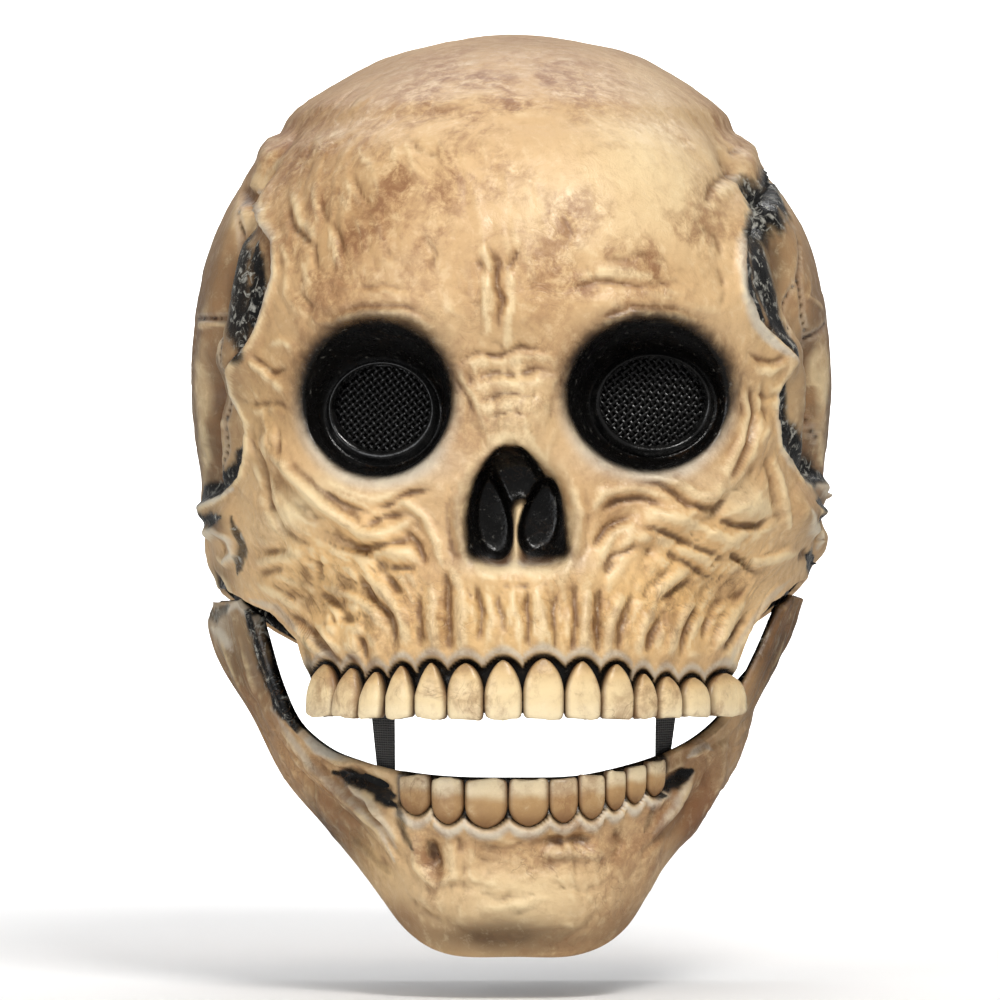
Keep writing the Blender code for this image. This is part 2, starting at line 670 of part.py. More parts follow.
def nostril_bowl_data(nostril, wall=0.0):
    """Solid that hollows out a nostril; or its outside, with a wall."""
    _, x, z, half_width, half_height, lean = nostril
    rings = []
    for share in (1.0, 0.0):
        centre = np.array((x, NOSTRIL_FLOOR_Y - NOSTRIL_DEPTH * share + wall * (1.0 - share), z))
        flare = NOSTRIL_FLARE * share + wall
        rings.append((centre, np.array((half_width + flare, 0.0, 0.0)),
                      np.array((lean * half_height, 0.0, half_height + flare))))
    return oval_loft_data(rings, 14)


def eye_mesh_data(socket, segments=20):
    """Thin crowned oval disc that lies behind a socket's hole."""
    middle, across, up, out = socket_frame(socket)
    seat = -WALL - FIT_GAP
    rings = ((1.0, 0.0), (0.82, 0.0), (0.45, 0.7))
    vertices = []
    faces = []
    for face_depth in (0.0, -EYE_MESH_THICK):
        for size, crown in rings:
            for i in range(segments):
                turn = 2.0 * math.pi * i / segments
                vertices.append(middle + across * (socket[6] + EYE_MESH_LIP) * size * math.cos(turn)
                                + up * (socket[7] + EYE_MESH_LIP) * size * math.sin(turn)
                                + out * (seat + face_depth + EYE_MESH_CROWN * crown))
        vertices.append(middle + out * (seat + face_depth + EYE_MESH_CROWN))
    side_count = len(rings) * segments + 1
    for side in (0, 1):
        start = side * side_count
        pole = start + side_count - 1
        for i in range(segments):
            j = (i + 1) % segments
            side_faces = []
            for ring in range(len(rings) - 1):
                a = start + ring * segments
                side_faces.append((a + i, a + j, a + segments + j, a + segments + i))
            last = start + (len(rings) - 1) * segments
            side_faces.append((last + i, last + j, pole))
            faces.extend(face[::-1] if side else face for face in side_faces)
    for i in range(segments):
        j = (i + 1) % segments
        faces.append((i, i + side_count, j + side_count, j))
    return np.array(vertices), faces


def ribbon_data(points, across, width, thickness):
    """Flat strip along points; across and thickness may be one value or one for each point."""
    points = np.array(points)
    across = np.broadcast_to(np.array(across, dtype=float), points.shape)
    run = np.gradient(points, axis=0)
    face = np.cross(run, across)
    face /= np.linalg.norm(face, axis=1)[:, None]
    thick = np.broadcast_to(np.array(thickness, dtype=float), (len(points),))
    vertices = []
    for point, sideways, normal, depth in zip(points, across, face, thick):
        for side, sign in ((-0.5, -0.5), (0.5, -0.5), (0.5, 0.5), (-0.5, 0.5)):
            vertices.append(point + sideways * width * side + normal * depth * sign)
    faces = [(0, 1, 2, 3), tuple(range(len(vertices) - 1, len(vertices) - 5, -1))]
    for i in range(len(points) - 1):
        for k in range(4):
            j = (k + 1) % 4
            faces.append((4 * i + k, 4 * i + 4 + k, 4 * i + 4 + j, 4 * i + j))
    return np.array(vertices), faces


def skull_inner_point(x, height):
    """Point on the skull's inner face at the front, and the level direction out of it there."""
    places = []
    for near_x in (x - 1.0, x, x + 1.0):
        y = float(skull_front_y(np.array(near_x), np.array(height)))
        places.append(np.array((near_x, y, height)))
    out = level_out(places[0], places[2])
    return places[1] - out * (GUM_STEP + WALL), out


def strap_data(x_skull, x_jaw):
    """Elastic strap from behind the upper teeth to the inside of the lower jaw."""
    upper = []
    for height in (STRAP_TOP, STRAP_LEAVES_SKULL):
        point, skull_out = skull_inner_point(x_skull, height)
        upper.append(point - skull_out * (FIT_GAP + STRAP_CLEAR_SKULL + 0.5 * STRAP_THICK))
    lower = []
    for across in (STRAP_MEETS_JAW, STRAP_END):
        point, jaw_out = jaw_at_x(x_jaw, across)
        jaw_out = jaw_out * np.array((1.0, 1.0, 0.0))
        jaw_out /= np.linalg.norm(jaw_out)
        lower.append(point - jaw_out * (JAW_WALL + FIT_GAP + STRAP_CLEAR_JAW + 0.5 * STRAP_THICK))
    between = [upper[1] * (1.0 - t) + lower[0] * t for t in (0.25, 0.5, 0.75)]
    points = [upper[0], upper[1]] + between + lower
    across_top = np.array((-skull_out[1], skull_out[0], 0.0))
    across_foot = np.array((-jaw_out[1], jaw_out[0], 0.0))
    across = [across_top * (1.0 - t) + across_foot * t for t in (0.0, 0.0, 0.25, 0.5, 0.75, 1.0, 1.0)]
    across = [line / np.linalg.norm(line) for line in across]
    return ribbon_data(points, across, STRAP_WIDTH, STRAP_THICK)


def web_data(side, clear_of_jaw, clear_of_skull):
    """Ribbed web in front of the ear, from the skull's inner face to the jaw's branch."""
    points = []
    for station, across in WEB_JAW_PLACES:
        place = station if side < 0 else 1.0 - station
        point, out, _ = jaw_base(np.array([place]), np.array([across]))
        points.append(point[0] - out[0] * (JAW_WALL + clear_of_jaw + WEB_THICK))
    outward = out[0] * np.array((1.0, 1.0, 0.0))
    outward /= np.linalg.norm(outward)
    angle = math.radians(WEB_SKULL_ANGLE * side)
    radius = float(skull_radius(np.array(WEB_SKULL_TOP), np.array(angle)))
    radius -= WALL + clear_of_skull + WEB_THICK
    points.append(np.array((radius * math.sin(angle), AXIS_Y - radius * math.cos(angle), WEB_SKULL_TOP)))
    steps = 4 * WEB_RIB_COUNT
    along = np.linspace(0.0, 1.0, steps + 1)
    path = np.stack([np.interp(along, (0.0, 0.5, 1.0), column) for column in np.array(points).T], axis=-1)
    ribs = [WEB_THICK + (WEB_RIB if i % 4 in (1, 2) else 0.0) for i in range(steps + 1)]
    across_line = np.array((-outward[1], outward[0], 0.0))
    return ribbon_data(path, across_line, WEB_WIDTH, ribs)


def make_material(name, colour, roughness, metallic=0.0):
    """Principled material."""
    material = bpy.data.materials.new(name)
    material.use_nodes = True
    shader = material.node_tree.nodes["Principled BSDF"]
    shader.inputs["Base Color"].default_value = (*colour, 1.0)
    shader.inputs["Roughness"].default_value = roughness
    shader.inputs["Metallic"].default_value = metallic
    return material


def make_object(name, data, material=None):
    """Mesh object from vertices in millimetres."""
    vertices, faces = data
    mesh = bpy.data.meshes.new(name)
    mesh.from_pydata((np.asarray(vertices) * MM).tolist(), [], faces)
    bm = bmesh.new()
    bm.from_mesh(mesh)
    bmesh.ops.triangulate(bm, faces=bm.faces)
    bmesh.ops.recalc_face_normals(bm, faces=bm.faces)
    bm.to_mesh(mesh)
    bm.free()
    mesh.shade_smooth()
    obj = bpy.data.objects.new(name, mesh)
    bpy.context.scene.collection.objects.link(obj)
    if material is not None:
        mesh.materials.append(material)
    return obj


def make_guide(name, data):
    """Shape used only by Boolean modifiers."""
    guide = make_object(name, data)
    guide.hide_render = True
    guide.display_type = "WIRE"
    return guide


def combine(obj, guide, operation):
    """Boolean modifier on an object."""
    modifier = obj.modifiers.new(guide.name, "BOOLEAN")
    modifier.operation = operation
    modifier.solver = "EXACT"
    modifier.object = guide


def build_skull(material):
    outer, hollow_data = skull_solids()
    skull = make_object("skull", outer, material)
    hollow = make_guide("hollow", hollow_data)
    for socket in SOCKETS:
        combine(hollow, make_guide("socket_wall_" + socket[0], socket_bowl_data(socket, WALL)), "DIFFERENCE")
    for nostril in NOSTRILS:
        combine(hollow, make_guide("nostril_wall_" + nostril[0], nostril_bowl_data(nostril, WALL)),
                "DIFFERENCE")
    combine(skull, hollow, "DIFFERENCE")
    for nostril in NOSTRILS:
        combine(skull, make_guide("nostril_" + nostril[0], nostril_bowl_data(nostril)), "DIFFERENCE")
    for socket in SOCKETS:
        combine(skull, make_guide("socket_" + socket[0], socket_bowl_data(socket)), "DIFFERENCE")
        combine(skull, make_guide("eye_hole_" + socket[0], eye_hole_data(socket)), "DIFFERENCE")
    combine(skull, make_guide("upper_teeth", upper_teeth_data()), "UNION")


def build_jaw(material):
    jaw = make_object("jaw", jaw_mesh_data(), material)
    combine(jaw, make_guide("lower_teeth", lower_teeth_data()), "UNION")


def build_soft_pieces(mesh_material, strap_material, web_material):
    for socket in SOCKETS:
        make_object("eye_mesh_" + socket[0], eye_mesh_data(socket), mesh_material)
    for name, x_skull, x_jaw in STRAPS:
        make_object("jaw_strap_" + name, strap_data(x_skull, x_jaw), strap_material)
    for name, side, clear_of_jaw, clear_of_skull in WEBS:
        make_object("jaw_web_" + name, web_data(side, clear_of_jaw, clear_of_skull), web_material)


def main():
    for old in list(bpy.data.objects):
        bpy.data.objects.remove(old)
    build_skull(make_material("skull_latex", (0.70, 0.50, 0.29), 0.45))
    build_jaw(make_material("jaw_latex", (0.62, 0.43, 0.24), 0.45))
    build_soft_pieces(make_material("black_mesh", (0.01, 0.01, 0.01), 0.4),
                      make_material("black_elastic", (0.012, 0.011, 0.01), 0.8),
                      make_material("black_latex", (0.015, 0.015, 0.014), 0.3))


main()
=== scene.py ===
"""Looks of the skull mask: painted latex skin, teeth, mesh, elastic and webs around the solid model.

Tables and form functions are in millimetres and become metres as meshes are made.
Points called pixels are places in a frame of 1000 by 1000, seen by the scene's camera.
"""

import math
import bmesh
import bpy
import numpy as np
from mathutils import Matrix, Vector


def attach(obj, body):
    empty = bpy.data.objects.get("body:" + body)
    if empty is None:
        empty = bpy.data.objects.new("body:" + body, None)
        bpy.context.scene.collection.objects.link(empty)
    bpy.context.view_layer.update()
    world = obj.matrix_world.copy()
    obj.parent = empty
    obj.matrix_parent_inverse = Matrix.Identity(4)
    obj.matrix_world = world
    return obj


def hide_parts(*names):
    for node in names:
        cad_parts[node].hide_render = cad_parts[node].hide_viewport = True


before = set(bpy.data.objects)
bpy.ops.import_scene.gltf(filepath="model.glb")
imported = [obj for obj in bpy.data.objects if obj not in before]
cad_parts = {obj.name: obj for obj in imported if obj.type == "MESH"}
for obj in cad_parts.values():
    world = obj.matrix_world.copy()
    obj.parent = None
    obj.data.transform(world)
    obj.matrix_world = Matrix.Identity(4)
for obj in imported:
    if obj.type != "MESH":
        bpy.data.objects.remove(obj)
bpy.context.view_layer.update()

MM = .001
BODY = "root"


def strokes(*rows):
    """Rows of numbers as strokes: rise or strength, half width, and the points of its line."""
    return [(row[0], row[1], tuple(zip(row[2::2], row[3::2]))) for row in rows]


# Driving dimensions of the solids, mm
WALL = 2.2
CROWN_TOP = WALL
AXIS_Y = 10
DOME_HEIGHT = -80
FIT_GAP = .4
JAW_WALL = 3.7
BACK_POWER = 2.1
TOOTH_LINE = -203

# Camera: its place in mm, its focal length and frame in pixels
VIEW_X = -4.1
VIEW_Z = -146.5
VIEW_DISTANCE = 2400
FOCAL_PIXELS = 7547
FRAME_PIXELS = 1000
SENSOR_WIDTH = 36

# Plain form of the skull, a level ring in each row
SKULL_RINGS = (
    # height, left, right, front and back reach, power of the front
    (CROWN_TOP, 0, 0, 0, 0, 2), (-2.8, 31, 32, 40, 40, 2), (-9.2, 48.5, 48, 66, 62, 2),
    (-22, 69, 66.5, 97, 86, 2.05), (-30.5, 74.7, 71.4, 108.5, 94.5, 2.05), (-41, 83.6, 79.8, 119, 103, 2.1),
    (-60, 94, 92.5, 127.5, 111, 2.15), (-80, 100, 98.5, 131.5, 114, 2.2), (-105, 102.5, 101.5, 128, 112, 2.2),
    (-130, 101, 100, 125, 105, 2.15), (-150, 97, 97, 125.5, 97, 2.1), (-170, 95.5, 94.5, 127, 90, 2.05),
    (-190, 89, 88.5, 128.5, 86, 2), (-216, 86, 87, 129, 84, 2),
)

# Free lower edge of the skull: angle round the head, height
SKULL_EDGE = (
    (-180, -207), (-150, -204), (-125, -192), (-105, -180), (-90, -174.5), (-75, -174), (-62, -175.5),
    (-47, -181), (-38.5, -189.5), (-36.5, -197), (-34.5, -210), (0, -210.5), (39, -210), (41.5, -197),
    (45, -188.5), (53, -178), (66, -172), (83, -170), (95, -173), (110, -181), (130, -194), (152, -204),
    (180, -207),
)

SOCKET_FLOOR_Y = -90
SOCKET_FLOOR_SLOPE = .25
NOSTRIL_FLOOR_Y = -99
# Dip round the nostrils: x, height, half width, half height, rise
NOSE_DIP = (2, -152, 17.5, 21, -5.5)

# Rounded rises and hollows on the front: x, height, half width, half height, turn in degrees, rise
FACE_SWELLS = (
    (-40, -90, 25, 7, 0, 3), (41, -89, 25, 7, 0, 3), (0, -90, 12, 9, 0, 2), (0, -104, 10, 6, 0, -2),
    (1, -122, 8, 11, 0, 6), (-85.5, -104, 7, 8, 0, 4.5), (86, -103, 7, 8, 0, 4.5), (-68, -150, 21, 13, 12, 6),
    (69, -148, 21, 13, -12, 6), (-30, -153, 10, 8, -35, -3), (33, -152, 10, 8, 35, -3),
    (-60, -176, 13, 9, 20, -5), (63, -175, 13, 9, -20, -5), (2, -169, 16, 4, 0, 3), (3, -188, 50, 9, 0, 2.5),
    (-32, -52, 28, 24, 0, 2.5), (34, -50, 28, 24, 0, 2.5),
)

# Long folds on the front: rise, half width, then the points of its line as x, height
FACE_FOLDS = strokes(
    (2.6, 3.6, -74, -128, -62, -142, -50, -153, -34, -162), (-2, 2.6, -70, -140, -56, -155, -40, -165),
    (2.4, 3.6, 76, -126, 64, -141, 52, -150, 36, -158), (-2, 2.6, 72, -138, 58, -152, 42, -162),
    (2.6, 4, -76, -34, -78, -60, -84, -88, -88, -104), (2.6, 4, 74, -34, 70, -62, 71, -82, 84, -100),
)

# Long folds on the sides: rise, half width, then angle and height of its line
SIDE_FOLDS = strokes(
    (-6, 7, -53, -46, -56, -66, -57, -88, -63, -112), (-6, 7.5, -63, -112, -64, -128, -66, -140),
    (-6, 9, 46, -44, 49, -62, 52, -84, 64, -106), (-6, 8, 64, -106, 64, -124, 67, -138),
    (5, 6.5, -54, -153, -66, -152), (2.2, 6, -66, -152, -92, -148), (5, 6.5, 54, -150, 66, -149),
    (2, 6, 66, -149, 92, -146), (2, 5, -88, -160, -94, -166), (4.6, 5, 84, -159, 92, -162),
)
# Length of one degree round the side, mm
SIDE_ARC = 1.7

# Upper teeth: x of their sides, height of each one's top, then foot, stand and root
UPPER_TOOTH_EDGES = (-61.8, -53, -45.2, -38, -29.6, -19.9, -8.9, 2.7,
                     15.2, 26.2, 36, 42.9, 50.4, 59, 70.4)
UPPER_TOOTH_TOPS = (-197.5, -198.5, -199.5, -197.5, -196.5, -196.5, -195.5,
                    -195, -196, -197, -200, -201, -201.5, -200.5)
UPPER_TOOTH_FOOT = -212.8
UPPER_TOOTH_STAND = 2.6
UPPER_TOOTH_ROOT = 2.9
GUM_STEP = 2.2
# Rise over the root of each upper tooth, mm, and its half width as a share of the tooth's width
ROOT_RISE = 1.5
ROOT_SHARE = .28

# Lower jaw: one row for each station from the left ear end to the right one
JAW_STATIONS = (
    # top x, y, z, bottom x, y, z, bulge, flange
    (-83, -34, -178, -98.5, 4, -179, 2, 1), (-79.5, -38, -190, -94, 3, -197, 3, 2),
    (-75, -43, -205, -83, -3, -215, 3.5, 4), (-69, -51, -217, -72.5, -18, -234, 3.5, 6),
    (-60, -61, -224.5, -58.8, -37, -249, 4, 8), (-50, -73, -228, -45.3, -56, -264, 4.5, 10),
    (-37, -86, -230.5, -32.3, -74, -279.5, 5, 13), (-20, -96.5, -232, -19.5, -83.5, -286, 5, 15),
    (0, -100, -232.3, .5, -86, -286.5, 5, 16), (20, -97.5, -231.8, 20, -84, -286, 5, 15),
    (38, -87, -228.5, 33.8, -74, -279, 5, 13), (52, -74, -224.5, 46.2, -56, -261.5, 4.5, 10),
    (62, -62, -219, 58.8, -37, -247, 4, 8), (70, -52, -211, 68, -18, -233, 3.5, 6),
    (77.5, -43, -198, 75.3, -3, -211, 3.5, 4), (83, -37, -186, 86, 3, -195, 3, 2),
    (87, -33, -177, 92.5, 4, -177.5, 2, 1),
)
# Lower teeth: x of their sides, height of each one's foot in the gum, then stand and root
LOWER_TOOTH_EDGES = (-34.3, -24.8, -14.9, -1.7, 10.8, 19.7, 27.8, 33.9, 40.1, 46)
LOWER_TOOTH_FEET = (-242.5, -245, -246, -245.5, -244.5, -243.5, -241, -239, -237)
LOWER_TOOTH_STAND = 1.8
LOWER_TOOTH_ROOT = 2.4
LOWER_GUM_RISE = 1.6

# Rounded rises and hollows of the jaw, in the columns of the face's
JAW_SWELLS = (
    (0, -271, 18, 10, 0, 3.5), (-26, -268, 9, 9, -20, 1.6), (28, -268, 9, 9, 20, 1.6),
    (-24, -256, 5, 7, 0, -1.8), (-8, -255, 6, 5, 0, -1.5), (14, -255, 9, 5, 0, -1.8),
    (34, -250, 5, 5, 30, -1.6), (-45, -232, 8, 5, -10, -1.8), (52, -227, 6, 5, 20, -1.8),
)
# Grooves along the branches: place across, half width, depth
JAW_GROOVES = ((.24, .07, 1.2), (.5, .08, 1.6), (.76, .07, 1.2))

# Straps: side, x at the skull, x at the jaw; webs: side, sign, distances clear of jaw and skull
STRAP_WIDTH = 10
STRAP_THICK = 1.2
STRAPS = (("left", -43.6, -44.4), ("right", 51, 51.6))
STRAP_TOP = -199
STRAP_LEAVES_SKULL = -207
STRAP_MEETS_JAW = 0
STRAP_END = .45
STRAP_CLEAR_SKULL = .1
STRAP_CLEAR_JAW = 1.4
WEBS = (("left", -1, .45, 1.25), ("right", 1, .7, 0))
WEB_WIDTH = 11
WEB_THICK = 1.8
WEB_RIB = .9
WEB_RIB_COUNT = 6
WEB_JAW_PLACES = ((.075, .36), (.02, .36))
WEB_SKULL_ANGLE = 78
WEB_SKULL_TOP = -164


def catmull_rom(table, samples_per_row, mirror_first=False):
    """Rows read from a smooth curve through a table's rows."""
    rows = np.array(table, dtype=float)
    first = 2 * rows[0] - rows[1]
    if mirror_first:
        first = rows[1].copy()
        first[1:5] *= -1
    last = 2 * rows[-1] - rows[-2]
    padded = np.vstack((first, rows, last))
    out = []
    for i in range(len(rows) - 1):
        before, start, end, after = padded[i:i + 4]
        for t in np.linspace(0, 1, samples_per_row, endpoint=False):
            out.append(.5 * (2 * start + (end - before) * t
                              + (2 * before - 5 * start + 4 * end - after) * t ** 2
                              + (3 * (start - end) + after - before) * t ** 3))
    out.append(rows[-1])
    return np.array(out)


def rows_at(place, places, rows):
    """Rows of numbers read at a place between the places of the rows."""
    return np.stack([np.interp(place, places, column) for column in np.array(rows).T], axis=-1)


RING_SAMPLES = catmull_rom(SKULL_RINGS, 60, mirror_first=True)
JAW_SAMPLES = catmull_rom(JAW_STATIONS, 24)


def ramp(low, high, value):
    """0 below low, 1 above high, smooth between; low may be the larger one."""
    t = np.clip((value - low) / (high - low), 0, 1)
    return t * t * (3 - 2 * t)


def swell(x, z, row):
    """A rounded rise or hollow of one table row."""
    centre_x, centre_z, half_width, half_height, turn, rise = row
    cos_turn = math.cos(math.radians(turn))
    sin_turn = math.sin(math.radians(turn))
    across = ((x - centre_x) * cos_turn + (z - centre_z) * sin_turn) / half_width
    up = ((z - centre_z) * cos_turn - (x - centre_x) * sin_turn) / half_height
    return rise * np.exp(-across ** 2 - up ** 2)


def line_reach(x, z, points):
    """Distance from a line of straight stretches, and the way along it to the nearest place."""
    best = np.full(np.shape(x), 1e9)
    along = np.zeros(np.shape(x))
    start = 0
    for (x0, z0), (x1, z1) in zip(points, points[1:]):
        length = math.hypot(x1 - x0, z1 - z0)
        t = np.clip(((x - x0) * (x1 - x0) + (z - z0) * (z1 - z0)) / length ** 2, 0, 1)
        distance = np.hypot(x - x0 - t * (x1 - x0), z - z0 - t * (z1 - z0))
        nearer = distance < best
        best = np.where(nearer, distance, best)
        along = np.where(nearer, start + t * length, along)
        start += length
    return best, along, start


def fold(x, z, row):
    """A long rounded ridge, or a groove where the rise is below zero."""
    rise, half_width, points = row
    return rise * np.exp(-(line_reach(x, z, points)[0] / half_width) ** 2)


def ring_at(height):
    """Left, right, front and back reach and front power of the plain skull at a height."""
    depth = CROWN_TOP - height
    return [np.interp(depth, CROWN_TOP - RING_SAMPLES[:, 0], RING_SAMPLES[:, i]) for i in range(1, 6)]


def skull_radius(height, angle):
    """Distance of the plain skull from its upright axis; the angle is in radians."""
    left, right, front, back, power = ring_at(height)
    side = np.maximum(np.where(angle < 0, left, right), 1e-6)
    reach = np.maximum(np.where(np.cos(angle) > 0, front, back), 1e-6)
    power = np.where(np.cos(angle) > 0, power, BACK_POWER)
    inside = (np.abs(np.sin(angle)) / side) ** power + (np.abs(np.cos(angle)) / reach) ** power
    return inside ** (-1 / power)


def skull_front_y(x, height):
    """Y of the plain skull's front at a given x."""
    left, right, front, _, power = ring_at(height)
    side = np.where(x < 0, left, right)
    return AXIS_Y - front * (1 - (np.abs(x) / side) ** power) ** (1 / power)


def scallop(x, edges, ends, at_middle, drop):
    """Height of a scalloped line over or under a row of teeth."""
    edges = np.array(edges)
    ends = np.array(ends)
    index = np.clip(np.searchsorted(edges, x) - 1, 0, len(ends) - 1)
    middle = .5 * (edges[index] + edges[index + 1])
    half = .5 * (edges[index + 1] - edges[index])
    away = np.clip((x - middle) / half, -1, 1)
    return ends[index] + at_middle + drop * away ** 2


def laid_round(points):
    """Points of degrees and height, with the degrees as arc length."""
    return [(degrees * SIDE_ARC, height) for degrees, height in points]


def gum_line(x):
    """Height of the gum's scalloped edge over the upper teeth."""
    return scallop(x, UPPER_TOOTH_EDGES, UPPER_TOOTH_TOPS, 2, -3.6)


def lower_gum_line(x):
    """Height of the gum's scalloped edge under the lower teeth."""
    return scallop(x, LOWER_TOOTH_EDGES, LOWER_TOOTH_FEET, -.6, 3.2)


def skull_relief(x, z, degrees):
    """Rise of the skull's face and sides over the plain form."""
    front = ramp(86, 70, np.abs(degrees))
    relief = sum(swell(x, z, row) for row in FACE_SWELLS)
    relief = (relief + sum(fold(x, z, row) for row in FACE_FOLDS)) * front
    relief = relief + sum(fold(degrees * SIDE_ARC, z, (rise, width, laid_round(points)))
                          for rise, width, points in SIDE_FOLDS)
    dip_x, dip_z, dip_width, dip_height, dip = NOSE_DIP
    away = np.hypot((x - dip_x) / dip_width, (z - dip_z) / dip_height)
    relief = relief + dip * ramp(1.1, .7, away) * front
    under_gum = ramp(1.5, -1.3, z - gum_line(x)) * ramp(74, 70, np.abs(x)) * front
    relief = relief - GUM_STEP * under_gum
    root_height = ramp(-174, -182, z) * ramp(-197, -193, z)
    for left_edge, right_edge in zip(UPPER_TOOTH_EDGES, UPPER_TOOTH_EDGES[1:]):
        middle = .5 * (left_edge + right_edge)
        half = ROOT_SHARE * (right_edge - left_edge)
        relief = relief + ROOT_RISE * np.exp(-((x - middle) / half) ** 2) * root_height * front
    return relief


def plain_reach(height, angle):
    """Length of each ray to the plain form."""
    return np.hypot(skull_radius(height, angle), height - np.minimum(height, DOME_HEIGHT))


def skull_place(height, angle, reach):
    """Point on the ray of a height and an angle, at a distance from where the rays start."""
    radius = skull_radius(height, angle)
    rise = height - np.minimum(height, DOME_HEIGHT)
    length = np.maximum(np.hypot(radius, rise), 1e-9)
    level = reach * radius / length
    return np.stack((level * np.sin(angle),
                     AXIS_Y - level * np.cos(angle),
                     np.minimum(height, DOME_HEIGHT) + reach * rise / length), axis=-1)


# Detail of the skin

SEED = 11
LATTICE = 48
NOISE = np.random.default_rng(SEED).random((LATTICE, LATTICE, LATTICE))


def noise3(points, size, shift=0):
    """Smooth noise from 0 to 1 in space, with grains of about the given size."""
    place = points / size + shift + 1000
    low = np.floor(place).astype(int)
    part = place - low
    part = part * part * (3 - 2 * part)
    total = 0
    for corner in range(8):
        step = np.array((corner & 1, corner >> 1 & 1, corner >> 2 & 1))
        weight = np.prod(np.where(step, part, 1 - part), axis=-1)
        index = (low + step) % LATTICE
        total = total + weight * NOISE[index[..., 0], index[..., 1], index[..., 2]]
    return total


def cloudy(points, size, shift=0):
    """Noise of three sizes added together, from 0 to 1."""
    return (noise3(points, size, shift) + .5 * noise3(points, .5 * size, shift + 7.3)
            + .25 * noise3(points, .25 * size, shift + 13.1)) / 1.75


def to_pixels(points):
    """Where the camera sees points, as pixels across and down."""
    scale = FOCAL_PIXELS / (VIEW_DISTANCE + points[..., 1])
    middle = .5 * FRAME_PIXELS
    return middle + scale * (points[..., 0] - VIEW_X), middle - scale * (points[..., 2] - VIEW_Z)


# Way the wrinkles run: pixel across, pixel down, direction across, direction down
FLOWS = (
    (270, 180, 1, -1.2), (330, 120, 1, -.6), (420, 70, 1, -.2), (520, 60, 1, 0), (620, 80, 1, .25),
    (700, 130, 1, .7), (760, 200, .5, 1), (300, 230, .25, 1), (350, 210, .35, 1), (400, 180, .6, 1),
    (300, 300, .2, 1), (340, 300, 1, .3), (400, 300, 1, -.1), (450, 290, .3, 1), (500, 280, 0, 1),
    (520, 240, .1, 1), (560, 270, .6, .6), (600, 260, 1, .1), (660, 270, 1, .2), (700, 240, .6, -1),
    (720, 190, .5, -1), (650, 180, .2, 1), (580, 180, .1, 1), (480, 180, .2, 1), (440, 230, .4, 1),
    (380, 318, 1, 0), (650, 315, 1, .05), (455, 345, .6, 1), (565, 345, -.6, 1), (480, 380, .5, 1),
    (520, 390, 0, 1), (555, 380, -.5, 1), (450, 420, .3, 1), (585, 410, -.35, 1), (450, 460, .5, 1),
    (590, 460, -.5, 1), (330, 480, .9, .6), (380, 490, 1, -.15), (430, 480, 1, -.5), (620, 480, 1, .3),
    (680, 485, 1, -.2), (730, 460, 1, -.8), (260, 420, .15, 1), (270, 480, .35, 1), (300, 510, .7, .6),
    (340, 540, 1, .35), (300, 560, .8, .7), (360, 560, .8, .7), (400, 530, 1, .1), (430, 540, .6, .8),
    (380, 600, .5, 1), (420, 600, .2, 1), (340, 620, .7, .9), (330, 650, .5, 1), (770, 420, -.1, 1),
    (760, 480, -.4, 1), (730, 510, -.8, .6), (690, 530, -1, .3), (750, 560, -.8, .7), (700, 570, -.7, .8),
    (650, 540, -.9, .5), (620, 530, -.6, .8), (660, 600, -.4, 1), (620, 600, -.2, 1), (720, 610, -.7, .9),
    (700, 650, -.3, 1), (460, 600, .05, 1), (510, 600, 0, 1), (560, 600, -.05, 1), (450, 640, 0, 1),
    (580, 640, 0, 1), (520, 650, 0, 1), (215, 400, .1, 1), (215, 250, .2, -1), (815, 400, .05, 1),
    (800, 250, .3, 1), (230, 640, .2, 1), (260, 700, .6, 1), (300, 790, .7, 1), (360, 850, .5, 1),
    (430, 880, 0, 1), (520, 880, .9, .2), (600, 880, 0, 1), (650, 840, -.4, 1), (700, 770, -.6, 1),
    (780, 640, -.3, 1), (510, 930, 1, 0),
)
FLOW_CELL = 2
FLOW_COLUMNS = 360
FLOW_ROWS = 480
FLOW_LEFT = 150
FLOW_TOP = 10
FLOW_SPREAD = 34
FLOW_WANDER = .7


def flow_wrinkles(reach, seed, blur):
    """Raster of wrinkles that run along the flows: noise smeared along the way of each place."""
    rng = np.random.default_rng(seed)
    raw = rng.standard_normal((FLOW_ROWS, FLOW_COLUMNS))
    raw = soften(raw, blur)
    v, u = np.mgrid[0:FLOW_ROWS, 0:FLOW_COLUMNS].astype(float)
    across = FLOW_LEFT + u * FLOW_CELL
    down = FLOW_TOP + v * FLOW_CELL
    double_cos = np.zeros(raw.shape)
    double_sin = np.zeros(raw.shape)
    for x, y, dx, dy in FLOWS:
        weight = np.exp(-((across - x) ** 2 + (down - y) ** 2) / (2 * FLOW_SPREAD ** 2)) + 1e-9
        turn = 2 * math.atan2(dy, dx)
        double_cos += weight * math.cos(turn)
        double_sin += weight * math.sin(turn)
    way = .5 * np.arctan2(double_sin, double_cos)
    way = way + FLOW_WANDER * soften(rng.standard_normal(raw.shape), 9) * 9
    total = raw.copy()
    for sign in (-1, 1):
        x, y = u.copy(), v.copy()
        step_x, step_y = sign * np.cos(way), sign * np.sin(way)
        for _ in range(reach):
            x = np.clip(x + step_x, 0, FLOW_COLUMNS - 1)
            y = np.clip(y + step_y, 0, FLOW_ROWS - 1)
            i, j = y.astype(int), x.astype(int)
            total += raw[i, j]
            next_x, next_y = np.cos(way[i, j]), np.sin(way[i, j])
            same = np.where(next_x * step_x + next_y * step_y < 0, -1, 1)
            step_x, step_y = next_x * same, next_y * same
    total -= soften(total, 5 * blur + 3)
    return total / total.std()


def soften(values, cells):
    """Values blurred over about so many cells each way."""
    out = values
    for axis in (0, 1):
        for _ in range(2):
            stack = [np.roll(out, shift, axis=axis) for shift in range(-cells, cells + 1)]
            out = sum(stack) / len(stack)
    return out


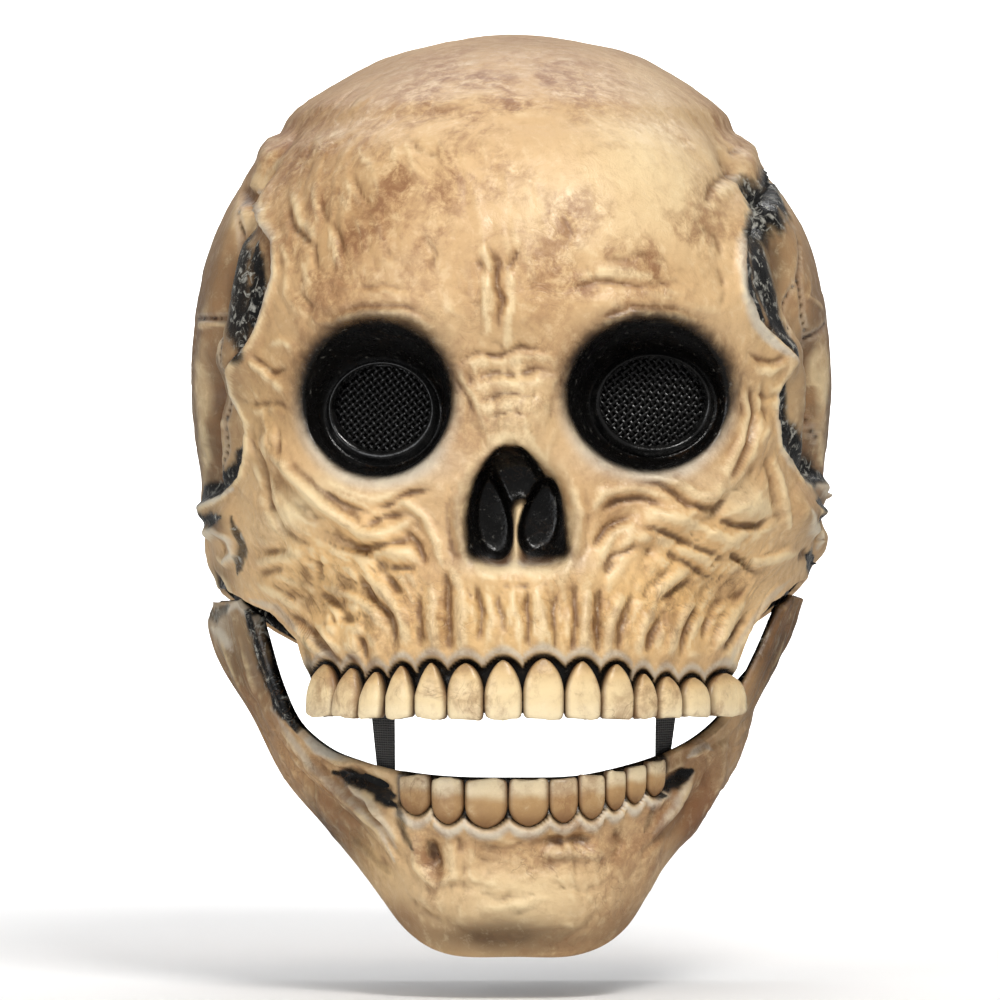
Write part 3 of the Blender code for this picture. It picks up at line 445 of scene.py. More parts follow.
def sample_raster(raster, u, v):
    """Raster read smoothly at pixels."""
    x = np.clip((u - FLOW_LEFT) / FLOW_CELL, 0, FLOW_COLUMNS - 1.001)
    y = np.clip((v - FLOW_TOP) / FLOW_CELL, 0, FLOW_ROWS - 1.001)
    i, j = y.astype(int), x.astype(int)
    s, t = x - j, y - i
    return ((raster[i, j] * (1 - s) + raster[i, j + 1] * s) * (1 - t)
            + (raster[i + 1, j] * (1 - s) + raster[i + 1, j + 1] * s) * t)


BROAD_WRINKLES = flow_wrinkles(16, SEED + 1, 2)
FINE_WRINKLES = flow_wrinkles(12, SEED + 2, 1)

# Height of the wrinkles by region: pixel across, down, half width, half height, turn, mm
WRINKLE_HEIGHTS = (
    (340, 575, 80, 80, 0, .8), (690, 570, 80, 80, 0, .8), (510, 610, 120, 40, 0, .65),
    (510, 390, 60, 55, 0, .55), (330, 230, 60, 90, 0, .42), (640, 275, 90, 30, 0, .5),
    (495, 285, 45, 60, 0, .45), (255, 440, 30, 60, 0, .5), (775, 430, 30, 60, 0, .5),
    (300, 120, 80, 60, 0, .26), (720, 150, 60, 80, 0, .26), (500, 110, 130, 70, 0, .16),
    (520, 870, 120, 60, 0, .75), (300, 760, 60, 120, 0, .85), (740, 720, 50, 110, 0, .8),
    (640, 150, 70, 70, 0, -.14),
)

# Strokes worked into the skin: rise in mm, half width in pixels, then pixels along the line
STROKES = strokes(
    # between the brows and on the root of the nose
    (-1.6, 3, 488, 246, 499, 264, 495, 284, 503, 300, 498, 318, 501, 336),
    (-.9, 2.6, 474, 256, 486, 268, 494, 282), (-.8, 2.6, 522, 246, 510, 262, 504, 276),
    (1.3, 4.4, 484, 250, 488, 280, 484, 318), (.9, 4.4, 508, 262, 512, 300, 508, 330),
    (-1.1, 2.8, 478, 262, 488, 276), (-.9, 2.8, 520, 250, 508, 272),
    (-1, 2.4, 456, 364, 476, 352, 498, 357, 520, 346, 552, 352),
    (.9, 3.6, 458, 370, 480, 361, 506, 362, 534, 356, 556, 360),
    (-.9, 2.8, 470, 380, 494, 372, 514, 376, 540, 368, 558, 374),
    (.8, 3.4, 474, 388, 500, 382, 530, 384, 550, 380), (-1.2, 2.2, 478, 402, 506, 393, 536, 397),
    (-1, 2.2, 484, 419, 510, 411, 532, 415), (-.9, 2.8, 448, 372, 466, 394, 478, 420),
    (-.9, 2.8, 572, 366, 556, 392, 548, 424), (1.1, 3.9, 456, 372, 474, 398, 486, 430),
    # brow edges
    (-.9, 3.3, 318, 318, 360, 306, 404, 306, 436, 322), (1.1, 4.4, 322, 326, 366, 314, 408, 316, 436, 330),
    (-.9, 3.3, 592, 322, 630, 306, 676, 308, 714, 322), (1.1, 4.4, 598, 328, 640, 315, 690, 319),
    (-.9, 2.8, 352, 290, 384, 284, 412, 292), (-.9, 2.8, 560, 292, 596, 280, 640, 286, 688, 280),
    (.7, 3.3, 570, 284, 610, 270, 660, 276), (-.7, 2.8, 600, 262, 640, 254, 672, 262),
    # left forehead
    (-1.1, 2.9, 286, 196, 292, 226, 312, 244, 318, 276), (.9, 3.7, 292, 190, 300, 222, 320, 240),
    (-.9, 2.8, 316, 188, 324, 214, 340, 236, 344, 262), (-.7, 2.8, 350, 170, 362, 196, 384, 214),
    (-.7, 2.8, 396, 126, 420, 150, 452, 160), (-.9, 2.8, 262, 168, 284, 150, 300, 128),
    (-.7, 2.8, 296, 288, 310, 306, 304, 330), (.7, 3.3, 276, 232, 288, 262, 284, 300),
    (-.9, 2.8, 420, 232, 436, 252, 430, 270), (-.7, 2.8, 380, 246, 398, 262, 420, 262),
    # right forehead
    (-1.3, 3.3, 734, 168, 712, 186, 706, 206), (.9, 4, 744, 176, 722, 196),
    (-.9, 2.8, 694, 222, 716, 236, 724, 262), (-.7, 2.8, 752, 138, 736, 152, 722, 150),
    (-.7, 2.8, 716, 262, 726, 290, 720, 312), (-.7, 2.8, 560, 212, 572, 232, 564, 250),
    # outer corners of the eyes
    (-1.3, 3.2, 248, 354, 262, 364, 272, 373, 288, 367), (.9, 4, 246, 360, 262, 370, 278, 388, 288, 396),
    (-.9, 3, 236, 398, 254, 404, 276, 402, 290, 410), (.8, 4, 266, 346, 282, 342, 294, 350),
    (-1.2, 3, 792, 352, 776, 362, 760, 360, 748, 350), (.9, 4, 790, 362, 772, 372, 754, 372),
    (-.8, 2.8, 790, 392, 770, 398, 752, 390), (-1.1, 2.9, 744, 372, 740, 398, 746, 424),
    # cheekbone plate and lower rim, left
    (1.9, 4.4, 262, 440, 267, 451, 292, 477, 322, 506, 347, 524, 361, 536),
    (1, 9, 266, 470, 282, 500, 306, 526, 330, 536),
    (-1.9, 3.4, 249, 432, 263, 471, 269, 506, 282, 530, 298, 542, 314, 542),
    (-1.2, 5.5, 284, 452, 298, 474, 322, 496, 352, 516, 372, 520), (-1.1, 3, 320, 489, 339, 502, 373, 514),
    (.9, 4, 322, 478, 346, 490, 376, 500, 402, 494), (-1, 2.6, 277, 424, 278, 457),
    (1.8, 4, 349, 535, 373, 535, 400, 528, 416, 517), (-1.7, 3.2, 366, 524, 384, 517, 404, 513),
    (-1.9, 3.6, 373, 509, 386, 506, 410, 492, 434, 490),
    (1.8, 3.8, 382, 503, 404, 501, 424, 516, 437, 542, 440, 566), (-1.7, 3.2, 406, 530, 418, 546, 427, 566),
    (-1.8, 3.2, 350, 551, 380, 545, 412, 541), (1.4, 5, 366, 556, 392, 554, 408, 556),
    (-1.7, 3, 388, 567, 416, 569), (-2, 3.2, 350, 558, 363, 581, 375, 602, 392, 616, 396, 640, 397, 655),
    (1.7, 4.2, 358, 560, 374, 582, 388, 602, 403, 622, 407, 646), (-1.7, 3, 386, 574, 396, 589, 404, 594),
    (-1.7, 3, 418, 590, 420, 618, 421, 650), (1.4, 4.2, 430, 580, 433, 612, 435, 650),
    (-1.8, 3.2, 446, 566, 449, 614, 450, 650), (1.5, 5, 460, 590, 462, 620, 463, 652),
    (-1.9, 3.2, 314, 590, 335, 604, 347, 616, 356, 626), (1.7, 4.2, 322, 588, 346, 594, 370, 608, 382, 630),
    (-1.6, 3, 337, 617, 352, 622), (-2.2, 3.2, 299, 616, 314, 636, 331, 657, 347, 665),
    (2, 3.6, 292, 619, 308, 642, 324, 658), (1.5, 3.6, 312, 622, 331, 642, 353, 656),
    (-1.7, 3, 322, 627, 343, 651, 360, 668), (-1.5, 3, 359, 634, 367, 662), (-1.6, 4, 262, 552, 288, 551),
    (-1.5, 4, 256, 574, 284, 567), (1.4, 5, 254, 562, 282, 558, 306, 556),
    (1.5, 5, 258, 584, 284, 598, 308, 612), (-1.4, 2.4, 317, 548, 318, 566, 320, 584),
    # cheekbone plate and lower rim, right
    (-1.7, 3.2, 749, 379, 756, 412, 750, 445, 737, 474, 722, 493),
    (1.5, 3.8, 741, 384, 747, 414, 740, 444, 726, 470), (-1.2, 2.8, 764, 378, 767, 420),
    (1.6, 3.2, 774, 456, 783, 490, 789, 536), (-1.5, 3.4, 766, 452, 774, 486, 779, 524),
    (-1.9, 3.4, 640, 481, 660, 482, 690, 505, 716, 509, 738, 484),
    (1.6, 4.2, 646, 472, 672, 480, 698, 495, 716, 497, 728, 478), (1.6, 7, 730, 500, 752, 508, 768, 496),
    (-1.9, 3.4, 718, 518, 740, 526, 760, 526, 776, 514), (1.8, 5, 640, 511, 672, 517, 706, 531, 744, 548),
    (-1.8, 3.2, 636, 524, 664, 531, 692, 545, 720, 556, 728, 562), (-1.8, 3, 730, 551, 742, 560, 755, 572),
    (1.5, 5, 746, 566, 772, 560, 799, 552), (-1.6, 3.4, 664, 505, 644, 497, 618, 500, 600, 512),
    (1.5, 4, 660, 497, 634, 488, 604, 494, 592, 512), (-1.6, 3.2, 628, 516, 606, 528, 592, 548),
    (1.5, 4, 634, 522, 612, 536, 598, 560), (-1.7, 3.2, 640, 545, 612, 556, 600, 574),
    (-1.6, 4, 664, 552, 690, 564, 712, 580), (-1.9, 3.2, 700, 575, 680, 588, 660, 602),
    (1.5, 4, 694, 568, 672, 580, 650, 596), (-1.9, 3.2, 702, 600, 687, 631, 680, 660),
    (1.6, 4, 694, 596, 678, 624, 670, 656), (-1.8, 3.2, 664, 612, 652, 634, 647, 656),
    (1.5, 4, 654, 608, 642, 632, 636, 656), (-1.9, 3.2, 754, 607, 740, 630, 722, 654),
    (1.7, 4, 744, 602, 730, 624, 712, 652), (-1.6, 3, 724, 596, 710, 618, 702, 644),
    (-1.8, 3.2, 632, 596, 622, 626, 618, 656), (1.5, 4, 622, 590, 611, 620, 606, 654),
    (-1.8, 3.2, 600, 582, 598, 620, 597, 656), (1.4, 4.2, 588, 580, 586, 616, 584, 652),
    (-1.7, 3.2, 574, 582, 576, 620, 572, 656), (-1.2, 3, 620, 560, 606, 574),
    # round the nose
    (.9, 4.2, 466, 470, 460, 510, 466, 548, 486, 566, 520, 570, 556, 566, 574, 548, 578, 510, 566, 474),
    (-.6, 2.8, 454, 478, 446, 512, 452, 550, 470, 572), (-.6, 2.8, 582, 478, 590, 512, 586, 548, 574, 572),
    (-.6, 2.6, 480, 580, 506, 586, 536, 586, 560, 578), (-1.5, 3, 476, 586, 482, 612, 480, 640),
    (1.2, 3.4, 487, 590, 491, 618, 489, 650), (-1.4, 2.8, 496, 588, 502, 616, 508, 640),
    (1.2, 3.8, 512, 592, 518, 620, 520, 650), (-1.5, 3, 526, 588, 530, 620, 526, 652),
    (1.3, 4.2, 540, 590, 543, 620, 541, 652), (-1.5, 3, 556, 586, 554, 620, 556, 654),
)

# Sutures far back on the sides: degrees and heights
SIDE_SUTURES = (
    ((-72, -92), (-80, -108), (-92, -116), (-104, -138)), ((78, -100), (92, -112), (106, -138)),
    ((-78, -48), (-96, -40), (-116, -44), (-134, -60)), ((78, -46), (96, -38), (116, -44), (134, -60)),
)

# Strokes of the jaw, in pixels as above
JAW_STROKES = strokes(
    # long grooves and ridges of the branches
    (-1.5, 3.4, 216, 632, 224, 660, 238, 700, 258, 736, 290, 776),
    (1.6, 4.2, 212, 622, 222, 640, 236, 672, 252, 706),
    (-1.5, 3.4, 236, 616, 246, 650, 262, 690, 284, 726, 306, 750),
    (1.8, 4, 262, 690, 271, 708, 307, 762, 333, 787, 379, 828, 398, 866),
    (-1.6, 3.6, 262, 724, 296, 772, 340, 812, 378, 850, 396, 880),
    (-1.4, 3.2, 318, 762, 346, 790, 382, 826, 402, 862), (1.7, 3.6, 334, 776, 379, 815, 398, 850),
    (-1.5, 3, 352, 790, 384, 824, 400, 844), (1.6, 3.4, 366, 795, 392, 832, 404, 848),
    (-1.4, 3.2, 342, 824, 366, 848, 392, 876), (-1.2, 3.2, 402, 894, 424, 912, 446, 926),
    (-1.3, 3.2, 794, 628, 780, 668, 760, 706, 736, 736), (1.4, 4.2, 786, 632, 768, 672, 748, 708),
    (-1.6, 3.4, 704, 776, 690, 806, 664, 836, 642, 856), (1.8, 4.2, 694, 772, 678, 802, 656, 830),
    (-1.3, 3.2, 718, 752, 706, 786, 684, 822, 664, 846), (1.3, 3.8, 728, 756, 714, 792, 692, 828, 672, 852),
    # edge of the inner side
    (1.6, 3.2, 298, 735, 315, 749, 338, 762, 384, 762), (-2.8, 6, 334, 774, 360, 780, 394, 794),
    (1.6, 3.2, 690, 757, 704, 747, 710, 752), (-2.8, 6, 656, 786, 676, 781, 692, 771),
    # dimples and folds under the gum
    (-2, 5, 428, 838, 434, 856, 440, 872), (1.7, 4, 414, 836, 418, 866, 436, 884, 456, 876, 452, 846),
    (-.9, 4, 456, 834, 462, 856), (.8, 4.5, 470, 846, 476, 868), (-2, 5, 540, 843, 566, 839, 598, 841),
    (1.6, 4.5, 534, 856, 570, 853, 606, 856), (-.9, 4, 616, 826, 620, 846, 612, 862),
    (-.6, 3.4, 450, 884, 474, 890, 498, 900, 520, 896), (.5, 4, 460, 876, 490, 882, 520, 880),
    (-.6, 3.4, 556, 884, 584, 892, 612, 882), (-.6, 3, 430, 906, 452, 926, 480, 936),
    (-.6, 3, 600, 908, 586, 928, 560, 938), (.6, 4, 470, 912, 510, 904, 560, 912),
)


# Dark opening of the nose: height, middle, half width
NOSE_OPENING = (
    (-170, 1.5, 15.4), (-161, 1.3, 15.6), (-152.5, .4, 15.2), (-146.5, 0, 13.8), (-140.4, -.6, 11.4),
    (-134.4, -.8, 7.6), (-131, -1, 4.4), (-129, -1, 1.6),
)
NOSE_DEPTH = 6
STROKE_DEPTH = 1.1
STROKE_WIDTH = 1.18
PLATE_DROP = 3.4
OUTLINE_MIDDLE = 511
# Distance from the middle where lines are laid round the side, pixels; mm for a pixel there
EDGE_START = 222
EDGE_SCALE = .42
# Angles tried for a place near the outline: first, last, count
UNROLLED_DEGREES = (20, 81, 140)
# Edges of the face plate beside the temples: side, then pixels down the edge
PLATE_EDGES = (
    (-1, ((250, 190), (262, 222), (271, 250), (271, 282), (263, 312), (256, 334), (250, 352), (236, 376),
          (232, 397), (243, 425), (244, 452), (241, 478), (232, 494))),
    (1, ((764, 172), (753, 213), (742, 250), (741, 272), (745, 300), (756, 326), (773, 346), (787, 366),
         (780, 392), (779, 420), (783, 448), (799, 480))),
)
# Strokes near the outline, in pixels as above
EDGE_STROKES = strokes(
    # sutures of the side panels, left
    (-1.1, 2, 239, 208, 231, 236, 226, 262, 227, 292, 231, 318),
    (-1.2, 2, 197, 320, 214, 322, 225, 346, 228, 384), (.9, 2.4, 198, 326, 212, 328, 220, 350),
    (-.8, 1.8, 222, 396, 220, 420, 222, 450, 218, 474),
    # sutures of the side panels, right
    (-1.2, 2, 782, 190, 788, 216, 799, 246, 803, 283, 812, 319, 818, 341),
    (-1.1, 2, 831, 314, 818, 341, 819, 372, 819, 412, 822, 440), (-1, 2, 803, 283, 797, 319, 790, 341),
    (.8, 2.4, 808, 262, 811, 300, 824, 314), (.8, 2.4, 824, 348, 825, 380, 826, 420),
    # ear, left: lip, hollow, ring-shaped bump, dark hollow, knob
    (2.4, 4, 199, 514, 212, 506, 226, 500, 240, 490), (-2.6, 5, 204, 528, 220, 522, 238, 520),
    (2, 3.6, 216, 552, 216, 538, 228, 530, 241, 538, 240, 554, 228, 562, 217, 554),
    (-2, 4, 228, 545, 230, 549), (-2.8, 6, 206, 560, 214, 578, 228, 592),
    # ear, right: pale knob, spike, folded edges, dark knob
    (2.6, 5, 802, 482, 812, 480, 822, 490), (2.2, 3.4, 820, 492, 832, 499),
    (-2.2, 4.4, 800, 500, 814, 506, 826, 512), (1.8, 3.4, 790, 512, 798, 528, 812, 534),
    (-1.8, 3.4, 802, 516, 812, 524, 822, 526), (1.6, 3.6, 814, 540, 824, 534, 828, 546),
    (2, 5, 812, 562, 822, 564), (-2.2, 4, 796, 556, 808, 550),
)


def worked_strokes(u, v, table):
    """Sum of the listed strokes at pixels, tapered towards their ends."""
    total = np.zeros(np.shape(u))
    for rise, half_width, points in table:
        half_width = half_width * STROKE_WIDTH
        reach = 3 * half_width
        us, vs = zip(*points)
        near = ((u > min(us) - reach) & (u < max(us) + reach) & (v > min(vs) - reach) & (v < max(vs) + reach))
        if near.any():
            distance, along, length = line_reach(u[near], v[near], points)
            taper = ramp(-.1, .3, along / length) * ramp(1.1, .7, along / length)
            total[near] += rise * taper * np.exp(-(distance / half_width) ** 2)
    return total


def blobs(u, v, table):
    """Sum of soft ovals: across, down, half width, half height, turn, amount."""
    return sum(swell(u, v, row) for row in table)


def crease(wrinkles):
    """Soft ridges with narrow creases where smeared noise passes zero."""
    return .5 * np.clip(wrinkles, -1.8, 1.8) - .95 * np.exp(-(wrinkles / .38) ** 2)


def unroll(points):
    """Pixels near the outline as places round the side: degrees as arc length, and height."""
    places = []
    for u, v in points:
        height = VIEW_Z + (.5 * FRAME_PIXELS - v) * VIEW_DISTANCE / FOCAL_PIXELS
        degrees = np.linspace(*UNROLLED_DEGREES) * (-1 if u < OUTLINE_MIDDLE else 1)
        heights = np.full(degrees.shape, height)
        angles = np.radians(degrees)
        across = to_pixels(skull_place(heights, angles, plain_reach(heights, angles)))[0]
        places.append((degrees[np.argmin(np.abs(across - u))] * SIDE_ARC, height))
    return tuple(places)


def near_outline(row):
    """Whether a stroke lies wholly near the outline."""
    return min(abs(u - OUTLINE_MIDDLE) for u, _ in row[2]) > EDGE_START


def unrolled(table):
    """Rows of a stroke table with their lines laid round the side and their widths in mm."""
    return [(rise, width * EDGE_SCALE, unroll(points)) for rise, width, points in table]


def plate_step(arc, z):
    """Drop outside the edges of the face plate, fading out towards the back, mm."""
    total = np.zeros(np.shape(z))
    for side, points in PLATE_EDGES:
        arcs, heights = np.array(unroll(points)).T
        beyond = side * (arc - np.interp(-z, -heights, arcs))
        within = (ramp(heights[0] + 4, heights[0] - 4, z)
                  * ramp(heights[-1] - 3, heights[-1] + 3, z))
        total = total - PLATE_DROP * ramp(-.6, 2, beyond) * ramp(20, 8, beyond) * within
        total = total + 1.1 * np.exp(-((beyond + 1.8) / 1.7) ** 2) * within
    return total


def nose_opening(points, edge, full):
    """Share of the nose's dark opening at points, with the ridge between the nostrils left out."""
    x = points[..., 0]
    z = points[..., 2]
    heights, middles, halves = np.array(NOSE_OPENING).T
    across = np.abs(x - np.interp(z, heights, middles)) / np.interp(z, heights, halves)
    within = ramp(-127.5, -132, z) * ramp(-169, -161, z)
    ridge = np.exp(-((x - 2.2 - .12 * (z + 150)) / 2.6) ** 2) * ramp(-144, -151, z)
    return ramp(edge, full, across) * within * (1 - .95 * ridge)


def skin_detail(points, degrees):
    """Fine relief of the skull's outer face: strokes, wrinkles and sutures, mm."""
    u, v = to_pixels(points)
    facing = ramp(84, 74, np.abs(degrees))
    toothed = ramp(-194.5, -191, points[..., 2])
    arc = degrees * SIDE_ARC
    z = points[..., 2]
    relief = STROKE_DEPTH * worked_strokes(u, v, STROKES) * facing + plate_step(arc, z)
    relief = relief + worked_strokes(arc, z, unrolled(EDGE_STROKES))
    height = np.clip(blobs(u, v, WRINKLE_HEIGHTS) + .14, .06, 1)
    broad = crease(sample_raster(BROAD_WRINKLES, u, v))
    fine = crease(sample_raster(FINE_WRINKLES, u, v))
    relief = relief + height * (.75 * broad + .6 * fine) * facing * toothed
    for line in SIDE_SUTURES:
        distance = line_reach(arc, z, laid_round(line))[0]
        relief = relief - .9 * np.exp(-(distance / 1.3) ** 2)
    rough = crease(6 * (cloudy(points, 14) - .5)) + .6 * crease(6 * (cloudy(points, 6, 3) - .5))
    return relief + .2 * rough * (1 - .8 * facing) - NOSE_DEPTH * nose_opening(points, 1.1, .62) * facing


# Eye sockets: rim in the face, flat floor, and oval hole in the floor
SOCKETS = (
    # side, sign, then x, height, half width and half height of the rim, the floor and the hole
    ("left", -1, (-41.7, -116.8, 22.5, 23), (-40, -119.6, 18.4, 16.6), (-40.1, -118.5, 15.4, 13.4)),
    ("right", 1, (41.1, -115.6, 24.5, 22.5), (42.5, -117.2, 20, 16.6), (42.6, -116.5, 16.8, 13.8)),
)
# Way down into a socket: place in the rim's oval, size, share of floor's oval, depth
SOCKET_PROFILE = (
    (1.6, 1.6, 0, 0), (1.3, 1.3, 0, 0), (1.1, 1.12, 0, .02), (.98, 1.03, 0, .12), (.87, .99, .1, .34),
    (.74, .99, .5, .66), (.62, 1.01, .92, .93), (.54, .96, 1, 1), (.42, .82, 1, 1), (.3, .62, 1, 1),
    (0, 0, 1, 1),
)
SOCKET_CUT = .43
# Nostrils: middle, half width, half height, lean
NOSTRILS = (
    (-6.4, -151.4, 5.6, 12.8, -.1),
    (8.6, -151.6, 6.2, 11.6, .16),
)
NOSTRIL_PROFILE = (
    (1.6, 1.6, 0, 0), (1.3, 1.3, 0, 0), (1.12, 1.16, 0, .06), (.98, 1.04, 0, .26), (.84, .95, 0, .56),
    (.7, .86, 0, .84), (.56, .74, 0, .98), (.4, .56, 0, 1), (0, 0, 0, 1),
)
INNER_NOSE = (1, -149, 14, 17, 0)
PROFILE_SAMPLES = 10
# Narrowing of a nostril towards its top, how far out a hole draws points in, and a place far from any
NOSTRIL_NARROWING = .26
SINK_REACH = 1.6
FAR = 9


def profile_at(profile, place):
    """Size, share and depth of a profile table at places."""
    samples = catmull_rom(profile, PROFILE_SAMPLES)[::-1]
    return [np.interp(place, samples[:, 0], samples[:, i]) for i in (1, 2, 3)]


def drawn_in(points, place, x, z, floor_y, depth):
    """Points moved to x, z and part of the way to a floor, near a hole; also how far in each one is."""
    near = (place < SINK_REACH) & (points[..., 1] < 0)
    y = points[..., 1] * (1 - depth) + floor_y * depth
    return np.where(near[..., None], np.stack((x, y, z), axis=-1), points), np.where(near, place, FAR)


def sink_socket(points, socket, wall):
    """Points of the face drawn down into a socket; also how far in each one is."""
    _, side, rim, floor, hole = socket
    rim, floor = np.array((rim, floor)) + (0, 0, wall, wall)
    across = (points[..., 0] - rim[0]) / rim[2]
    up = (points[..., 2] - rim[1]) / rim[3]
    place = np.hypot(across, up)
    size, share, depth = profile_at(SOCKET_PROFILE, place)
    oval = [rim[i] * (1 - share) + floor[i] * share for i in range(4)]
    safe = np.maximum(place, 1e-6)
    x = oval[0] + oval[2] * size * across / safe
    z = oval[1] + oval[3] * size * up / safe
    floor_y = SOCKET_FLOOR_Y + SOCKET_FLOOR_SLOPE * side * (x - hole[0]) + wall
    return drawn_in(points, place, x, z, floor_y, depth)


def sink_nostril(points, nostril, wall):
    """Points of the face drawn down into a nostril; also how far in each one is."""
    x0, z0, half_width, half_height, lean = nostril
    half_width += wall
    half_height += wall
    up = (points[..., 2] - z0) / half_height
    narrow = 1 - NOSTRIL_NARROWING * np.clip(up, -1.2, 1.2)
    across = (points[..., 0] - x0 - lean * (points[..., 2] - z0)) / (half_width * narrow)
    place = np.hypot(across, up)
    size, _, depth = profile_at(NOSTRIL_PROFILE, place)
    safe = np.maximum(place, 1e-6)
    z = z0 + half_height * size * up / safe
    narrow = 1 - NOSTRIL_NARROWING * np.clip((z - z0) / half_height, -1.2, 1.2)
    x = x0 + lean * (z - z0) + half_width * narrow * size * across / safe
    return drawn_in(points, place, x, z, NOSTRIL_FLOOR_Y + wall, depth)


# Mesh density of the skin
FRONT_END = 62
FRONT_COLUMNS = 158
SIDE_END = 100
SIDE_COLUMNS = 24
BACK_COLUMNS = 12
DOME_ROWS = 68
DOME_CROWDING = .72
FACE_ROWS = 152
INNER_ROWS = 30
# Rows and columns searched for the deepest place by the inner face
LOW_ROWS = 6
LOW_COLUMNS = 3
# Rounding of the free edge: share of the way from the outer to the inner face, drop in mm
EDGE_PROFILE = ((.12, .35), (.5, .6), (.88, .35))
EDGE_ROWS = len(EDGE_PROFILE)


def grid_angles():
    """Angles of the mesh columns in degrees, close together on the face."""
    half = np.concatenate((np.linspace(0, FRONT_END, FRONT_COLUMNS, endpoint=False),
                           np.linspace(FRONT_END, SIDE_END, SIDE_COLUMNS, endpoint=False),
                           np.linspace(SIDE_END, 180, BACK_COLUMNS + 1)))
    return np.concatenate((-half[:0:-1], half[:-1]))


def grid_heights(degrees, dome_rows, face_rows):
    """Height of each row at each column, from just under the crown to the free edge."""
    samples = RING_SAMPLES[RING_SAMPLES[:, 0] >= DOME_HEIGHT]
    reach = .25 * samples[:, 1:5].sum(axis=1)
    steps = np.hypot(np.diff(samples[:, 0]), np.diff(reach))
    way = np.concatenate(([0], np.cumsum(steps)))
    wanted = way[-1] * np.linspace(0, 1, dome_rows + 1)[1:] ** DOME_CROWDING
    dome = np.interp(wanted, way, samples[:, 0])
    edge_table = np.array(SKULL_EDGE)
    edge = np.interp(degrees, edge_table[:, 0], edge_table[:, 1])
    down = (np.arange(face_rows) + 1) / face_rows
    face = DOME_HEIGHT + (edge - DOME_HEIGHT)[None, :] * down[:, None]
    return np.vstack((np.repeat(dome[:, None], len(degrees), axis=1), face))


def skull_skin():
    """Rows of points of the whole skin, outer face first, then the edge and the inner face."""
    degrees = grid_angles()
    heights = grid_heights(degrees, DOME_ROWS, FACE_ROWS)
    turn = np.broadcast_to(degrees, heights.shape)
    angles = np.radians(turn)
    reach = plain_reach(heights, angles)
    x = skull_radius(heights, angles) * np.sin(angles)
    relief = skull_relief(x, heights, turn)
    plain = skull_place(heights, angles, reach + relief)
    detail = skin_detail(plain, turn)
    outer = skull_place(heights, angles, reach + relief + detail)
    cut = np.full(heights.shape, FAR)
    sunk = np.full(heights.shape, FAR)
    for socket in SOCKETS:
        outer, place = sink_socket(outer, socket, 0)
        cut = np.minimum(cut, place)
    for nostril in NOSTRILS:
        outer, place = sink_nostril(outer, nostril, 0)
        sunk = np.minimum(sunk, place)

    chosen = np.round(np.linspace(len(heights) - 1, 0, INNER_ROWS)).astype(int)
    inner_heights = heights[chosen]
    lowest = np.minimum(lowest_near(relief + detail, LOW_ROWS, LOW_COLUMNS), 1.5)[chosen]
    inner = skull_place(inner_heights, angles[chosen], reach[chosen] + lowest - WALL)
    inner_cut = np.full(inner_heights.shape, FAR)
    for socket in SOCKETS:
        inner, place = sink_socket(inner, socket, WALL)
        inner_cut = np.minimum(inner_cut, place)
    inner, _ = sink_nostril(inner, INNER_NOSE, WALL)
    first = inner[0]
    last = outer[-1]
    edge = [last * (1 - t) + first * t - np.array((0, 0, drop)) for t, drop in EDGE_PROFILE]
    rows = np.concatenate((outer, np.array(edge), inner))
    cuts = np.concatenate((cut, np.full((EDGE_ROWS, len(degrees)), 9), inner_cut))
    facts = {"turn": turn, "detail": detail, "relief": relief, "cut": cut, "sunk": sunk}
    return rows, cuts, facts


def lowest_near(values, rows, columns):
    """Lowest value among so many rows and columns each way."""
    low = values
    for _ in range(columns):
        low = np.minimum(low, np.minimum(np.roll(low, 1, axis=1), np.roll(low, -1, axis=1)))
    for _ in range(rows):
        padded = np.pad(low, ((1, 1), (0, 0)), mode="edge")
        low = np.minimum(low, np.minimum(padded[:-2], padded[2:]))
    return low


# Paint

def linear(colour):
    """Linear colour from one of 0 to 255."""
    value = np.array(colour, dtype=float) / 255
    return np.where(value <= .04045, value / 12.92, ((value + .055) / 1.055) ** 2.4)


BONE = (216, 181, 134)
PALE = (238, 215, 170)
TAN = (184, 144, 97)
BROWN = (132, 92, 58)
UMBER = (92, 66, 42)
ASH = (205, 196, 178)
GREY_BROWN = (112, 90, 66)
OCHRE = (204, 166, 106)
LINING = (22, 20, 18)
HONEY = (246, 202, 136)
SHADE = (72, 50, 30)
GUM_PALE = (228, 216, 192)

